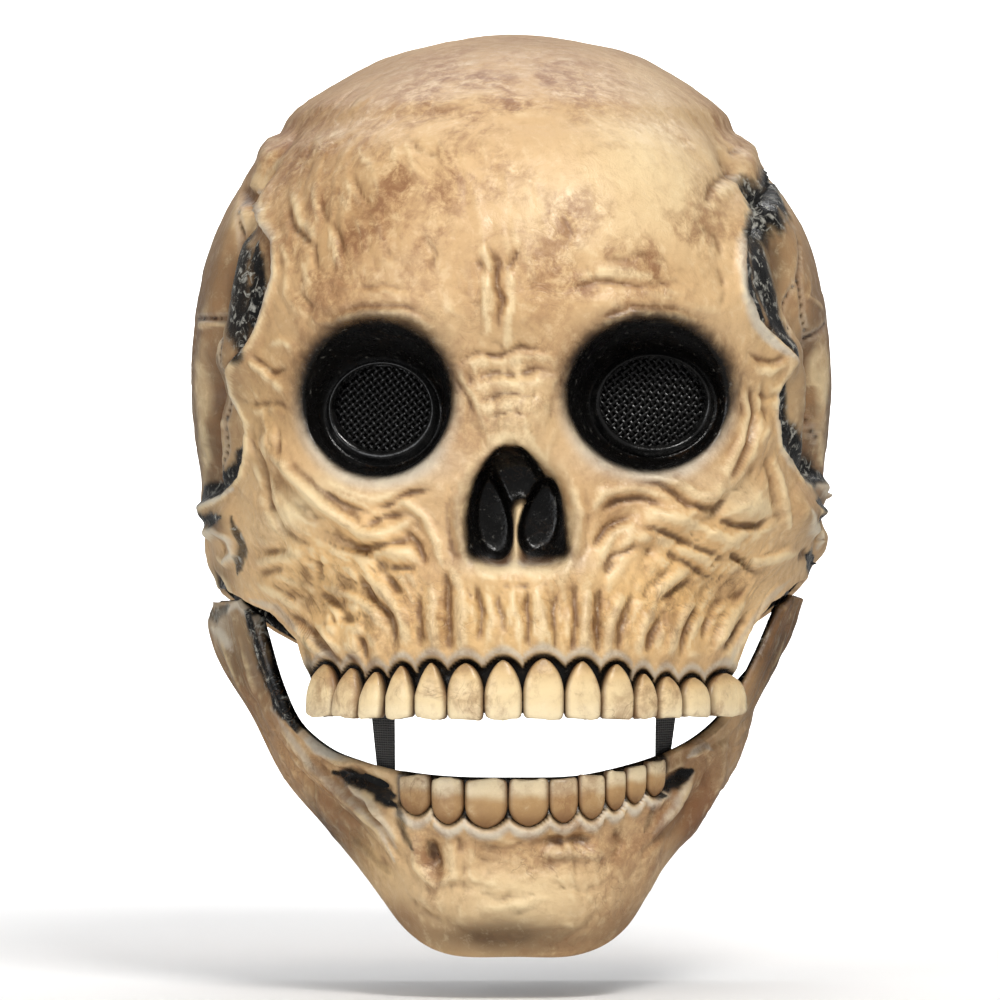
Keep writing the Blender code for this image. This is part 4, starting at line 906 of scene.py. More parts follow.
# Soft fields of colour on the skull: across, down, half width, half height, turn, strength, colour
SKULL_FIELDS = (
    # the pale field at (660, 155) on the upper right of the forehead is partly pale paint, partly a painted
    # highlight
    (500, 180, 320, 190, 0, .3, BONE), (660, 155, 75, 85, 0, .85, PALE), (560, 215, 60, 50, 0, .35, PALE),
    (430, 330, 40, 30, 0, .3, PALE), (300, 150, 70, 70, 0, .5, TAN), (370, 220, 70, 60, 0, .55, TAN),
    (515, 80, 90, 34, 0, .45, TAN), (640, 276, 90, 30, 0, .5, TAN), (724, 110, 50, 60, 0, .4, TAN),
    # the pale field on the bridge of the nose is partly pale paint, partly a painted highlight; the honey
    # fields on the cheeks are warm paint laid brighter as painted light in the cheek hollows
    (512, 398, 40, 44, 0, .55, PALE), (350, 590, 80, 60, 30, .9, HONEY), (685, 590, 80, 60, -30, .75, HONEY),
    # the pale fields on the cheekbones are painted highlights
    (510, 620, 90, 40, 0, .35, HONEY), (300, 508, 44, 17, -35, .8, PALE), (742, 500, 34, 20, 20, .6, PALE),
    (376, 600, 40, 40, 0, .45, BONE), (262, 400, 26, 50, 0, .35, OCHRE), (772, 390, 20, 50, 0, .35, OCHRE),
    (510, 620, 150, 40, 0, .5, OCHRE), (236, 300, 13, 56, -4, .85, LINING),
    (772, 268, 15, 62, 6, .85, LINING), (212, 524, 16, 14, 0, .75, UMBER), (214, 586, 18, 22, 0, .85, LINING),
    (818, 520, 12, 20, 0, .55, UMBER), (215, 400, 26, 90, 0, .8, GREY_BROWN),
    (814, 400, 24, 90, 0, .8, GREY_BROWN), (212, 280, 22, 60, 0, .55, GREY_BROWN),
    # the ash fields under the sockets are partly dry-brushed pale, partly painted highlights on the lower
    # rims
    (812, 270, 22, 70, 0, .55, GREY_BROWN), (400, 466, 60, 18, -8, .5, ASH), (640, 466, 60, 16, 6, .5, ASH),
    (523, 563, 52, 8, 0, .95, ASH),
)
# Mottled brown stains: across, down, half width, half height, turn, strength
SKULL_STAINS = (
    (372, 214, 76, 64, 0, 1), (515, 84, 90, 38, 0, 1), (632, 276, 96, 36, 0, 1), (470, 130, 60, 40, 30, .6),
    (560, 210, 50, 40, 0, .5), (300, 290, 40, 44, 0, .6), (450, 160, 60, 44, 0, .55),
    (700, 220, 36, 40, 0, .45), (290, 140, 60, 50, 0, .6), (740, 120, 50, 50, 0, .6),
    (510, 410, 40, 40, 0, .45), (400, 620, 60, 40, 0, .3), (640, 610, 60, 40, 0, .3),
)
# Black airbrush: strength, half width in pixels, then pixels along the line
SKULL_BLACKS = strokes(
    (.8, 18, 244, 226, 241, 262, 239, 290, 240, 322, 246, 360), (.95, 9, 256, 250, 254, 290, 249, 330),
    (.92, 21, 770, 180, 766, 214, 764, 258, 768, 292, 778, 324, 790, 352),
    (.95, 10, 754, 200, 748, 244, 750, 288, 764, 326),
    (1, 9, 238, 420, 240, 450, 232, 474, 218, 490, 206, 500),
    (.9, 13, 786, 384, 790, 420, 797, 448, 808, 468, 820, 478), (.9, 7, 202, 524, 220, 520, 240, 517),
    (.9, 9, 204, 552, 212, 578, 228, 596), (.7, 5, 246, 516, 249, 546, 238, 572),
    (.9, 6, 800, 502, 814, 507, 830, 512), (.8, 5, 802, 517, 813, 525, 824, 528),
    (.9, 8, 806, 556, 818, 566, 828, 560), (.5, 5, 303, 636, 309, 664, 314, 700),
)
# Pale edges, partly dry-brushed paint and partly painted highlights on the ridges: strength, half width in
# pixels, then pixels along the line
SKULL_PALES = strokes(
    (.9, 4, 199, 514, 212, 506, 226, 499, 240, 489),
    (.8, 3.5, 216, 552, 216, 538, 228, 530, 241, 538, 240, 554, 228, 562),
    (.9, 6, 802, 480, 814, 480, 826, 494), (.7, 4, 790, 510, 798, 528, 812, 536),
    (.7, 4, 816, 542, 825, 536, 828, 548),
    (.8, 3.5, 252, 196, 264, 222, 272, 250, 272, 282, 264, 312, 256, 338),
    (.9, 3.5, 762, 176, 751, 213, 739, 250, 738, 272, 743, 302, 754, 330, 771, 350, 786, 366),
    (.6, 3.5, 236, 376, 233, 397, 243, 425), (.6, 3.5, 777, 396, 777, 424, 781, 450, 796, 478),
    (.6, 3, 304, 632, 322, 646, 336, 662), (.6, 3, 250, 600, 276, 608, 302, 636),
    (.5, 3, 790, 580, 768, 600, 744, 634, 728, 668),
)
# Rows of the edge strokes that are sutures, and the length of their stitches in mm
SUTURES = (0, 1, 3, 4, 5, 6)
SUTURE_DASH = 2.6


def coat(colour, shape):
    """One colour all over."""
    return np.broadcast_to(linear(colour), shape).copy()


def mix(base, colour, amount):
    """Base colours with one colour laid over them."""
    return base * (1 - amount[..., None]) + linear(colour) * amount[..., None]


def line_mask(u, v, table, unevenness):
    """Greatest of soft uneven lines at pixels, each from 0 to its strength."""
    mask = np.zeros(np.shape(u))
    for strength, half_width, points in table:
        distance, along, length = line_reach(u, v, points)
        ends = ramp(0, .25, along / length) * ramp(1, .75, along / length)
        width = half_width * (.35 + .65 * ends)
        mask = np.maximum(mask, strength * ramp(1.8 * width, .2 * width, distance + width * unevenness))
    return mask


def stitches(across, up, lines, half_width, dash, points):
    """Dark broken stitches of sutures, and the pale edges beside them."""
    dark = np.zeros(np.shape(across))
    pale = np.zeros(np.shape(across))
    for line in lines:
        distance, along, _ = line_reach(across, up, line)
        distance = distance + .8 * half_width * (noise3(points, 2.4, 6) - .5)
        dots = .62 + .48 * np.cos(along * 2 * math.pi / dash + 6 * noise3(points, 7, 2))
        dark = np.maximum(dark, ramp(1.5 * half_width, .4 * half_width, distance) * np.clip(dots, 0, 1))
        pale = np.maximum(pale, ramp(2.6 * half_width, 1.4 * half_width, distance))
    return dark, pale * (1 - dark)


def cavity(relief, cells):
    """How far each place lies below the blurred relief around it, mm."""
    padded = np.pad(relief, ((4 * cells, 4 * cells), (0, 0)), mode="edge")
    smooth = soften(padded, cells)[4 * cells:-4 * cells]
    return smooth - relief


def lay_fields(paint, points, table, seen, size, shift):
    """Paint with soft broken fields of colour laid over it, one row after another."""
    u, v = to_pixels(points)
    broken = .55 + .9 * cloudy(points, size, shift)
    for row in table:
        field = swell(u, v, row[:5] + (1,)) * seen * broken
        paint = mix(paint, row[6], np.clip(row[5] * field, 0, 1))
    return paint


def paint_skull(points, facts):
    """Colour and masks of the skull's outer face: mottle, wash and painted shade in the hollows, painted
    highlights on the ridges, black and roughened places.
    """
    u, v = to_pixels(points)
    turn = facts["turn"]
    spread = 50 * ramp(-62, -14, points[..., 2])
    facing = ramp(96 + spread, 84 - .5 * spread, np.abs(turn))
    z = points[..., 2]
    paint = coat(BONE, points.shape)
    clouds = cloudy(points, 46, 5)
    paint = mix(paint, TAN, .55 * ramp(.45, .75, clouds) + .25 * (1 - facing))
    paint = lay_fields(paint, points, SKULL_FIELDS, facing, 18, 9)
    ragged = z + 26 * (cloudy(points, 26, 4) - .5)
    sides = (ramp(58, 68, np.abs(turn)) * ramp(140, 96, np.abs(turn))
             * ramp(-58, -88, ragged) * ramp(-158, -138, ragged))
    paint = mix(paint, GREY_BROWN, np.clip(.8 * sides * (.6 + .8 * cloudy(points, 22, 1)), 0, .95))

    stain = np.clip(blobs(u, v, SKULL_STAINS), 0, 1) * facing
    stain = np.clip(stain + .3 * (1 - facing) + .26, 0, 1)

    # darker in the creases and broad hollows: partly brown wash, partly painted shade
    deep = cavity(facts["detail"] + .35 * facts["relief"], 3)
    wash_and_shade = .95 * ramp(.1, 1.1, deep) + .22 * ramp(.5, 1.8, cavity(facts["relief"], 8))
    # paler on the ridges: partly dry-brushed paint, partly painted highlight
    raised = ramp(.12, .6, -deep)
    paint = mix(paint, PALE, .68 * raised)
    # browner in the broad hollows: partly brown wash, partly painted shade
    hollow = ramp(.3, 2.2, cavity(facts["relief"] + facts["detail"], 10))
    paint = mix(paint, BROWN, .06 * hollow * (.4 + cloudy(points, 12, 6)))
    # browner towards the outline seen by the camera, in the upper half: partly brown paint, partly painted
    # shade where the surface turns away
    rim = np.hypot((u - OUTLINE_MIDDLE) / 330, (v - 350) / 320)
    paint = mix(paint, BROWN, .55 * ramp(.72, 1.02, rim) * ramp(420, 300, v)
                * (.3 + cloudy(points, 20, 8)) * facing)

    uneven = 1.5 * (cloudy(points, 6, 2) - .5)
    arc = turn * SIDE_ARC
    pale, black = (np.maximum(
        line_mask(u, v, [row for row in table if not near_outline(row)], uneven) * facing,
        line_mask(arc, z, unrolled([row for row in table if near_outline(row)]), uneven),
    ) for table in (SKULL_PALES, SKULL_BLACKS))
    # pale edges: partly dry-brushed paint, partly painted highlights
    paint = mix(paint, ASH, pale)
    cut = facts["cut"]
    upper = ramp(-135, -100, z)
    outward = ramp(30, 62, np.abs(points[..., 0]))
    black = np.maximum(black, ramp(1.1 + .32 * upper + .06 * outward, .76 + .06 * upper, cut))
    # paler at the lower rim of each socket: partly dry-brushed pale, partly painted highlight; darker at the
    # upper rim: painted shade under the brow
    paint = mix(paint, ASH, .7 * ramp(1.24, 1, cut) * (1 - upper))
    wash_and_shade = wash_and_shade + .9 * ramp(1.5, 1, cut) * upper
    sunk = facts["sunk"]
    black = np.maximum(black, ramp(1.14, .88, sunk))
    black = np.maximum(black, nose_opening(points, 1.22, .84) * facing)
    # darker round the nose opening: partly brown airbrush, partly painted shade
    wash_and_shade = wash_and_shade + .7 * nose_opening(points, 1.5, 1.05) * facing

    from_gum = z - gum_line(points[..., 0])
    toothed = ramp(74, 70, np.abs(points[..., 0] - 4)) * ramp(60, 50, np.abs(turn))
    gum = ramp(1.3, -.5, from_gum) * toothed
    black = np.maximum(black, .86 * gum)
    jagged = from_gum + 1.2 * (cloudy(points, 5, 5) - .5)
    lip = ramp(.4, 1.5, jagged) * ramp(3.9, 2.2, jagged) * toothed
    paint = mix(paint, GUM_PALE, .85 * lip)
    # darker just above the gum line: wash and painted shade
    wash_and_shade = wash_and_shade + .5 * ramp(5, 2, from_gum) * toothed * (.4 + cloudy(points, 6, 4))

    lines = [unroll(EDGE_STROKES[i][2]) for i in SUTURES]
    lines += [laid_round(line) for line in SIDE_SUTURES]
    dark, pale = stitches(arc, z, lines, .85, SUTURE_DASH, points)
    black = np.maximum(black, .62 * dark)
    paint = mix(paint, ASH, .35 * pale)
    amount = np.clip(blobs(u, v, WRINKLE_HEIGHTS) + .15, .1, 1) * facing + .25 * (1 - facing)
    return paint, np.stack((stain, np.clip(wash_and_shade, 0, 1), np.clip(black, 0, 1), amount), axis=-1)


# Meshes

def grid_faces(rows, columns):
    """Quads of a grid whose rows run down and whose columns run round."""
    index = np.arange(rows * columns).reshape(rows, columns)
    index = np.concatenate((index, index[:, :1]), axis=1)
    return np.stack((index[:-1, :-1], index[1:, :-1], index[1:, 1:], index[:-1, 1:]), axis=-1).reshape(-1, 4)


def tube_faces(rings, around, start=0):
    """Quads between closed rings of points, one ring after another, and a face at each end."""
    faces = []
    for first in range(start, start + (rings - 1) * around, around):
        for i in range(around):
            j = (i + 1) % around
            faces.append((first + i, first + j, first + around + j, first + around + i))
    last = start + (rings - 1) * around
    faces.append(tuple(range(start, start + around))[::-1])
    faces.append(tuple(range(last, last + around)))
    return faces


def make_piece(name, vertices, faces, material, paint=None, masks=None):
    """Mesh object from vertices in millimetres, with its paint."""
    mesh = bpy.data.meshes.new(name)
    faces = [tuple(int(i) for i in face) for face in faces]
    mesh.from_pydata((np.asarray(vertices) * MM).tolist(), [], faces)
    mesh.polygons.foreach_set("use_smooth", [True] * len(mesh.polygons))
    for label, values in (("paint", paint), ("masks", masks)):
        if values is None:
            continue
        values = np.asarray(values, dtype=np.float32).reshape(len(mesh.vertices), -1)
        if values.shape[1] == 3:
            values = np.hstack((values, np.ones((len(values), 1), np.float32)))
        layer = mesh.attributes.new(label, "FLOAT_COLOR", "POINT")
        layer.data.foreach_set("color", values.ravel())
    mesh.materials.append(material)
    mesh.update()
    obj = bpy.data.objects.new(name, mesh)
    bpy.context.scene.collection.objects.link(obj)
    return obj


def rework(obj, work):
    """Does some work on the mesh of an object."""
    bm = bmesh.new()
    bm.from_mesh(obj.data)
    work(bm)
    bm.to_mesh(obj.data)
    bm.free()


def drop_loose(bm):
    """Removes points that no face uses."""
    bmesh.ops.delete(bm, geom=[vertex for vertex in bm.verts if not vertex.link_faces], context="VERTS")


def right_way_out(bm):
    """Turns all faces of closed forms outward."""
    bmesh.ops.recalc_face_normals(bm, faces=bm.faces)


def settle(obj, slot_name, *nodes):
    """Piece attached to the body, with the solids that it stands for hidden; the name of its finish is not
    used.
    """
    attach(obj, BODY)
    if nodes:
        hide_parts(*nodes)


def build_skull(material):
    """The whole skin of the skull."""
    rows, cuts, facts = skull_skin()
    count, columns = rows.shape[:2]
    outer_count = facts["turn"].shape[0]
    paint, masks = paint_skull(rows[:outer_count], facts)
    # near-black inner face: painted shade for the inside of the mask, on a guessed lining colour
    inside = coat(LINING, (count - outer_count, columns, 3))
    inside_masks = np.zeros((count - outer_count, columns, 4))
    inside_masks[:, :, 2] = 1
    inside[:EDGE_ROWS] = paint[-1]
    inside_masks[:EDGE_ROWS] = masks[-1]
    paint = np.concatenate((paint, inside)).reshape(-1, 3)
    masks = np.concatenate((masks, inside_masks)).reshape(-1, 4)
    faces = grid_faces(count, columns)
    faces = faces[cuts.reshape(-1)[faces].min(axis=1) > SOCKET_CUT].tolist()
    vertices = np.vstack((rows.reshape(-1, 3), ((0, AXIS_Y, CROWN_TOP), (0, AXIS_Y, 0))))
    top = count * columns
    last = (count - 1) * columns
    for i in range(columns):
        j = (i + 1) % columns
        faces.append((top, i, j))
        faces.append((top + 1, last + j, last + i))
    paint = np.vstack((paint, paint[0], paint[-1]))
    masks = np.vstack((masks, masks[0], masks[-1]))
    skull = make_piece("skull_skin", vertices, faces, material, paint, masks)
    rework(skull, drop_loose)
    settle(skull, "skull_latex", "skull")


# Teeth
TOOTH_AROUND = 28
TOOTH_LEVELS = 20
# Lean of each tooth's biting edge, mm towards +X, and how pointed its gum end is
UPPER_LEANS = (-1.6, -2.4, -2, -.8, -.3, -.2, 0, .1, .2, .2, .5, .7, 1, 1.4)
UPPER_ARCHES = (1.8, 1.3, 1.4, 1.2, 1.1, 2.2, 1.7, 2, 1.5, 1.6, 1.5, 2, 2.2, 2.4)
LOWER_ARCH = 3
# Ridges of a tooth's face, then unevenness of its biting edge: height in mm, waves across
TOOTH_WAVES = ((.1, 7), (.05, 17), (.35, 2.6), (.12, 8))
# Colours of each row of teeth: at the gum, on the body, at the biting edge
UPPER_TOOTH_COLOURS = ((206, 168, 112), (236, 212, 166), (244, 226, 188))
LOWER_TOOTH_COLOURS = ((150, 112, 70), (188, 152, 104), (240, 222, 184))
LOWER_LEANS = (-.6, -.3, 0, .2, 0, .1, .3, .5, .6)


def tooth(ends, foot, top, stand, root, lean, arch, seed):
    """One tooth: points by level from biting edge to gum, its faces, and places for its paint."""
    rng = np.random.default_rng(seed)
    out = level_out(*ends)
    middle = .5 * (ends[0] + ends[1])
    across = .5 * (ends[1] - ends[0])
    place = np.concatenate(([0, .03, .09], np.linspace(.16, 1, TOOTH_LEVELS - 3) ** .9))
    narrowing = np.clip((place - .4) / .605, 0, 1)
    width = .98 * (1 - narrowing ** arch) ** .66 + .03 * place
    width[:3] *= (.8, .93, .985)
    bulge = np.interp(place, (0, .05, .4, .75, 1), (.62, .84, 1.04, .92, .35))
    turn = np.linspace(0, 2 * math.pi, TOOTH_AROUND, endpoint=False)
    cos_turn, sin_turn = np.cos(turn), np.sin(turn)
    side = np.sign(cos_turn) * np.abs(cos_turn) ** .62
    depth = np.where(sin_turn > 0, np.abs(sin_turn) ** .75, -np.abs(sin_turn) ** .5)
    waves = [height * np.cos(side * times + rng.uniform(0, 6)) for height, times in TOOTH_WAVES]
    ridges = waves[0] + waves[1]
    uneven = waves[2] + waves[3]
    downward = 1 if top > foot else -1
    vertices = []
    paints = []
    for p, w, b in zip(place, width, bulge):
        for s, d, ridge, notch in zip(side, depth, ridges, uneven):
            push = (stand * b + ridge * (1 - p)) * d if d > 0 else root * d
            height = foot + (top - foot) * p + notch * (1 - p) ** 3 * downward
            point = middle + across * s * w + out * push
            vertices.append((point[0] + lean * (1 - p), point[1], height))
            paints.append((p, abs(s), d))
    faces = tube_faces(len(place), TOOTH_AROUND)
    if top > foot:
        faces = [face[::-1] for face in faces]
    return np.array(vertices), faces, np.array(paints)


def joined(parts):
    """Several lists of vertices, faces and paint places as one."""
    faces = []
    start = 0
    for vertices, part_faces, _ in parts:
        faces.extend(tuple(start + i for i in face) for face in part_faces)
        start += len(vertices)
    return np.vstack([part[0] for part in parts]), faces, np.vstack([part[2] for part in parts])


def levelled(ways):
    """Directions laid level, of length one."""
    flat = ways * np.array((1, 1, 0))
    return flat / np.linalg.norm(flat, axis=-1)[..., None]


def level_out(point_left, point_right):
    """Level direction that points out of the arch at the middle of two points."""
    run = point_right - point_left
    out = np.array((run[1], -run[0], 0))
    return out / np.linalg.norm(out)


def jaw_base(station, across):
    """Point of the plain jaw, the way out of it there, and its flange.

    The station runs from 0 to 1 from ear to ear, across from 0 at the top edge to 1.
    """
    count = len(JAW_SAMPLES)
    place = station * (count - 1)
    row = rows_at(place, np.arange(count), JAW_SAMPLES)
    top, bottom = row[..., 0:3], row[..., 3:6]
    run = np.gradient(.5 * (JAW_SAMPLES[:, 0:3] + JAW_SAMPLES[:, 3:6]), axis=0)
    out = np.cross(JAW_SAMPLES[:, 3:6] - JAW_SAMPLES[:, 0:3], run)
    out = rows_at(place, np.arange(count), out / np.linalg.norm(out, axis=1)[:, None])
    bulge = row[..., 6] * 4 * across * (1 - across)
    point = top + (bottom - top) * across[..., None] + out * bulge[..., None]
    return point, out, row[..., 7]


def jaw_relief(point, station, across):
    """Rise of the jaw's outer face over its plain form."""
    x = point[..., 0]
    z = point[..., 2]
    relief = sum(swell(x, z, row) for row in JAW_SWELLS)
    toothed = ramp(-37, -34, x) * ramp(49, 46, x)
    from_gum = z - lower_gum_line(x)
    relief = relief + LOWER_GUM_RISE * np.exp(-((from_gum + 2) / 2.2) ** 2) * toothed
    relief = relief - 1.2 * ramp(-.9, 1, from_gum) * toothed
    branch = ramp(.2, .12, np.minimum(station, 1 - station))
    for place, half_width, depth in JAW_GROOVES:
        relief = relief - depth * np.exp(-((across - place) / half_width) ** 2) * branch
    return relief


def jaw_at_x(x, across):
    """Jaw point at a given x on the front, and the level direction out of it there."""
    stations = np.linspace(.12, .88, 400)
    points = jaw_base(stations, np.full(400, across))[0]
    station = np.interp(x, points[:, 0], stations)
    point, out, _ = jaw_base(np.array([station]), np.array([across]))
    return point[0], out[0]


def paint_teeth(vertices, places, colours, edge_share, edge_reach):
    """Colour and masks of teeth from the place of each point on its tooth."""
    p, s, d = places.T
    gum_colour, body_colour, edge_colour = colours
    paint = mix(coat(body_colour, vertices.shape), gum_colour, .75 * ramp(.45, .95, p))
    # paler towards the biting edge: partly pale paint, partly painted highlight
    edge = ramp(edge_reach, edge_reach - .24, p + .14 * (noise3(vertices, 3) - .5))
    paint = mix(paint, edge_colour, edge_share * edge)
    # darker at each tooth's sides, where the teeth meet, and on its back inside the mouth: painted shade
    paint = mix(paint, UMBER, .55 * ramp(.82, 1, s))
    paint = mix(paint, UMBER, .7 * ramp(.3, -.1, d))
    # wash: painted shade between the teeth and towards the gum
    wash_and_shade = .35 * ramp(.7, 1, s) + .55 * ramp(.75, 1, p)
    stain = .35 + .3 * noise3(vertices, 6)
    # black on the backs of the teeth: painted shade inside the mouth
    black = .75 * ramp(.2, -.2, d) * ramp(.1, .4, p)
    return paint, np.stack((stain, wash_and_shade, black, np.ones(len(p))), axis=-1)


def build_teeth(material):
    """Upper and lower teeth."""
    parts = []
    for i, top in enumerate(UPPER_TOOTH_TOPS):
        ends = [np.array((x, float(skull_front_y(np.array(x), np.array(TOOTH_LINE))), 0))
                for x in UPPER_TOOTH_EDGES[i:i + 2]]
        parts.append(tooth(ends, UPPER_TOOTH_FOOT, top + .6, UPPER_TOOTH_STAND, UPPER_TOOTH_ROOT,
                           UPPER_LEANS[i], UPPER_ARCHES[i], SEED + i))
    vertices, faces, places = joined(parts)
    paint, masks = paint_teeth(vertices, places, UPPER_TOOTH_COLOURS, .65, .36)
    settle(make_piece("upper_teeth", vertices, faces, material, paint, masks), "skull_latex")
    parts = []
    for i, foot in enumerate(LOWER_TOOTH_FEET):
        edges = LOWER_TOOTH_EDGES[i:i + 2]
        bite = .5 * sum(jaw_at_x(x, 0)[0][2] for x in edges) + .6
        parts.append(tooth([jaw_at_x(x, .12)[0] for x in edges], bite, foot - .4, LOWER_TOOTH_STAND,
                           LOWER_TOOTH_ROOT, LOWER_LEANS[i], LOWER_ARCH, SEED + 40 + i))
    vertices, faces, places = joined(parts)
    paint, masks = paint_teeth(vertices, places, LOWER_TOOTH_COLOURS, .95, .48)
    # more of the wash and painted shade all over the lower teeth
    masks[:, 1] = np.clip(masks[:, 1] + .25, 0, 1)
    settle(make_piece("lower_teeth", vertices, faces, material, paint, masks), "jaw_latex")


# Jaw
JAW_COLUMNS = 380
JAW_OUTER_ROWS = 74
JAW_INNER_ROWS = 10
END_TAPER = .45
END_LENGTH = .035

# Paint of the jaw, in the columns of the skull's
JAW_FIELDS = (
    # the ash field at (218, 624) on the top of the left branch is a painted highlight
    (218, 624, 12, 26, 0, .5, ASH), (236, 690, 34, 60, 20, .7, GREY_BROWN), (300, 780, 60, 60, 30, .4, TAN),
    (360, 860, 40, 50, 30, .5, OCHRE), (510, 900, 110, 40, 0, .6, PALE), (450, 900, 50, 40, 0, .4, BONE),
    # the brown, umber, grey-brown and shade fields at (236, 690), (696, 818), (770, 670), (326, 836), (260,
    # 740), (784, 640) and (328, 832) darken the jaw's sides: partly brown paint, partly painted shade
    (696, 818, 46, 66, -30, 1, BROWN), (770, 670, 44, 84, 12, 1, UMBER),
    (326, 836, 36, 54, 30, .85, GREY_BROWN), (260, 740, 30, 50, 20, .5, BROWN),
    (506, 938, 96, 18, 0, .9, UMBER), (784, 640, 26, 60, 12, .75, SHADE), (328, 832, 34, 50, 30, .6, SHADE),
    (400, 920, 30, 20, 30, .6, BROWN), (620, 920, 30, 20, -30, .6, BROWN), (520, 846, 100, 14, 0, .35, TAN),
)
JAW_STAINS = (
    (500, 920, 60, 26, 0, .55), (690, 820, 50, 70, 0, .7), (320, 800, 60, 60, 0, .35),
    (420, 860, 40, 30, 0, .55), (580, 850, 60, 26, 0, .55), (240, 680, 40, 60, 0, .4),
)
# Black of the jaw, partly black paint and partly painted shade in its molar hollows, dimples and creases:
# strength, half width in pixels, then pixels along the line
JAW_BLACKS = strokes(
    (.9, 6, 244, 602, 256, 640, 270, 682, 284, 716, 298, 732), (1, 8, 334, 772, 356, 777, 374, 784, 394, 796),
    (.9, 6, 366, 786, 384, 800, 396, 806), (1, 8, 656, 786, 676, 781, 692, 771), (.8, 5, 656, 794, 666, 796),
    (.45, 7, 428, 842, 434, 858), (.4, 6, 548, 842, 592, 840), (.35, 5, 350, 834, 372, 856, 390, 874),
    (.6, 5, 398, 806, 404, 832, 412, 850), (.5, 5, 654, 806, 644, 832), (.6, 6, 204, 606, 214, 616, 228, 606),
)
# Pale ridges and edges of the jaw, partly dry-brushed paint and partly painted highlights: strength, half
# width in pixels, then pixels along the line
JAW_PALES = strokes(
    (.95, 3.2, 298, 733, 315, 749, 332, 757, 352, 757, 384, 762), (.7, 3, 262, 640, 278, 684, 292, 718),
    (.95, 3.5, 688, 757, 704, 745, 712, 750), (.8, 4, 212, 628, 222, 636, 232, 650),
    (.8, 3.5, 216, 616, 238, 603, 258, 626), (.6, 3.5, 271, 708, 307, 762, 333, 787, 379, 828, 394, 861),
    (.5, 3.5, 338, 777, 379, 815, 396, 848), (.5, 3.5, 366, 797, 394, 838),
    (.5, 3.5, 694, 772, 676, 806, 654, 834),
)


def jaw_skin():
    """Sections of the whole jaw from ear to ear, outer face first, and facts for its paint."""
    station = np.linspace(0, 1, JAW_COLUMNS)[:, None]
    from_end = np.minimum(station, 1 - station)
    across = np.linspace(0, 1, JAW_OUTER_ROWS)[None, :]
    station_grid = np.broadcast_to(station, (JAW_COLUMNS, JAW_OUTER_ROWS))
    narrowed = 1 - END_TAPER * ramp(END_LENGTH, 0, from_end) ** 1.5
    across_grid = .5 + (across - .5) * narrowed
    base, out, _ = jaw_base(station_grid, across_grid)
    relief = jaw_relief(base, station_grid, across_grid)
    rough = base + out * relief[..., None]
    u, v = to_pixels(rough)
    facing = ramp(0, .3, -out[..., 1])
    detail = STROKE_DEPTH * worked_strokes(u, v, JAW_STROKES) * (.3 + .7 * facing)
    height = blobs(u, v, WRINKLE_HEIGHTS) + .12
    wrinkles = (.75 * crease(sample_raster(BROAD_WRINKLES, u, v))
                + .35 * crease(sample_raster(FINE_WRINKLES, u, v)))
    from_gum = rough[..., 2] - lower_gum_line(rough[..., 0])
    toothed = ramp(-38, -34, rough[..., 0]) * ramp(50, 46, rough[..., 0])
    clear = 1 - toothed * ramp(-4, -2, from_gum)
    detail = detail + height * wrinkles * facing * clear
    branch = ramp(.2, .1, from_end)
    wave = across_grid * 26 + 2.4 * noise3(rough, 14)
    detail = detail + branch * .38 * crease(1.6 * np.sin(wave))
    edge_fade = ramp(0, .05, across_grid) * ramp(1, .96, across_grid) * ramp(0, .03, from_end)
    outer = rough + out * (detail * edge_fade)[..., None]

    inner_across = .5 + (np.linspace(.95, 0, JAW_INNER_ROWS)[None, :] - .5) * narrowed
    inner_station = np.broadcast_to(station, inner_across.shape)
    inner_base, inner_out, _ = jaw_base(inner_station, inner_across)
    inner = inner_base - inner_out * JAW_WALL
    foot, foot_out, flange = jaw_base(station, .5 + .5 * narrowed)
    level = levelled(foot_out)
    lift = np.array((0, 0, WALL)) * (.15 + .85 * ramp(0, .03, from_end))[..., None]
    flap = [foot - level * ((flange[..., None] + JAW_WALL) * t) for t in (.35, .7, 1)]
    top_lip = .5 * (outer[:, :1] + inner[:, -1:]) + np.array((0, 0, .6))
    sections = np.concatenate([outer] + flap + [flap[-1] + lift, inner, top_lip], axis=1)
    facts = {"seen": ramp(-.1, .25, -out[..., 1]), "branch": branch, "detail": detail, "relief": relief,
             "toothed": toothed, "from_gum": from_gum, "height": height}
    return sections, facts


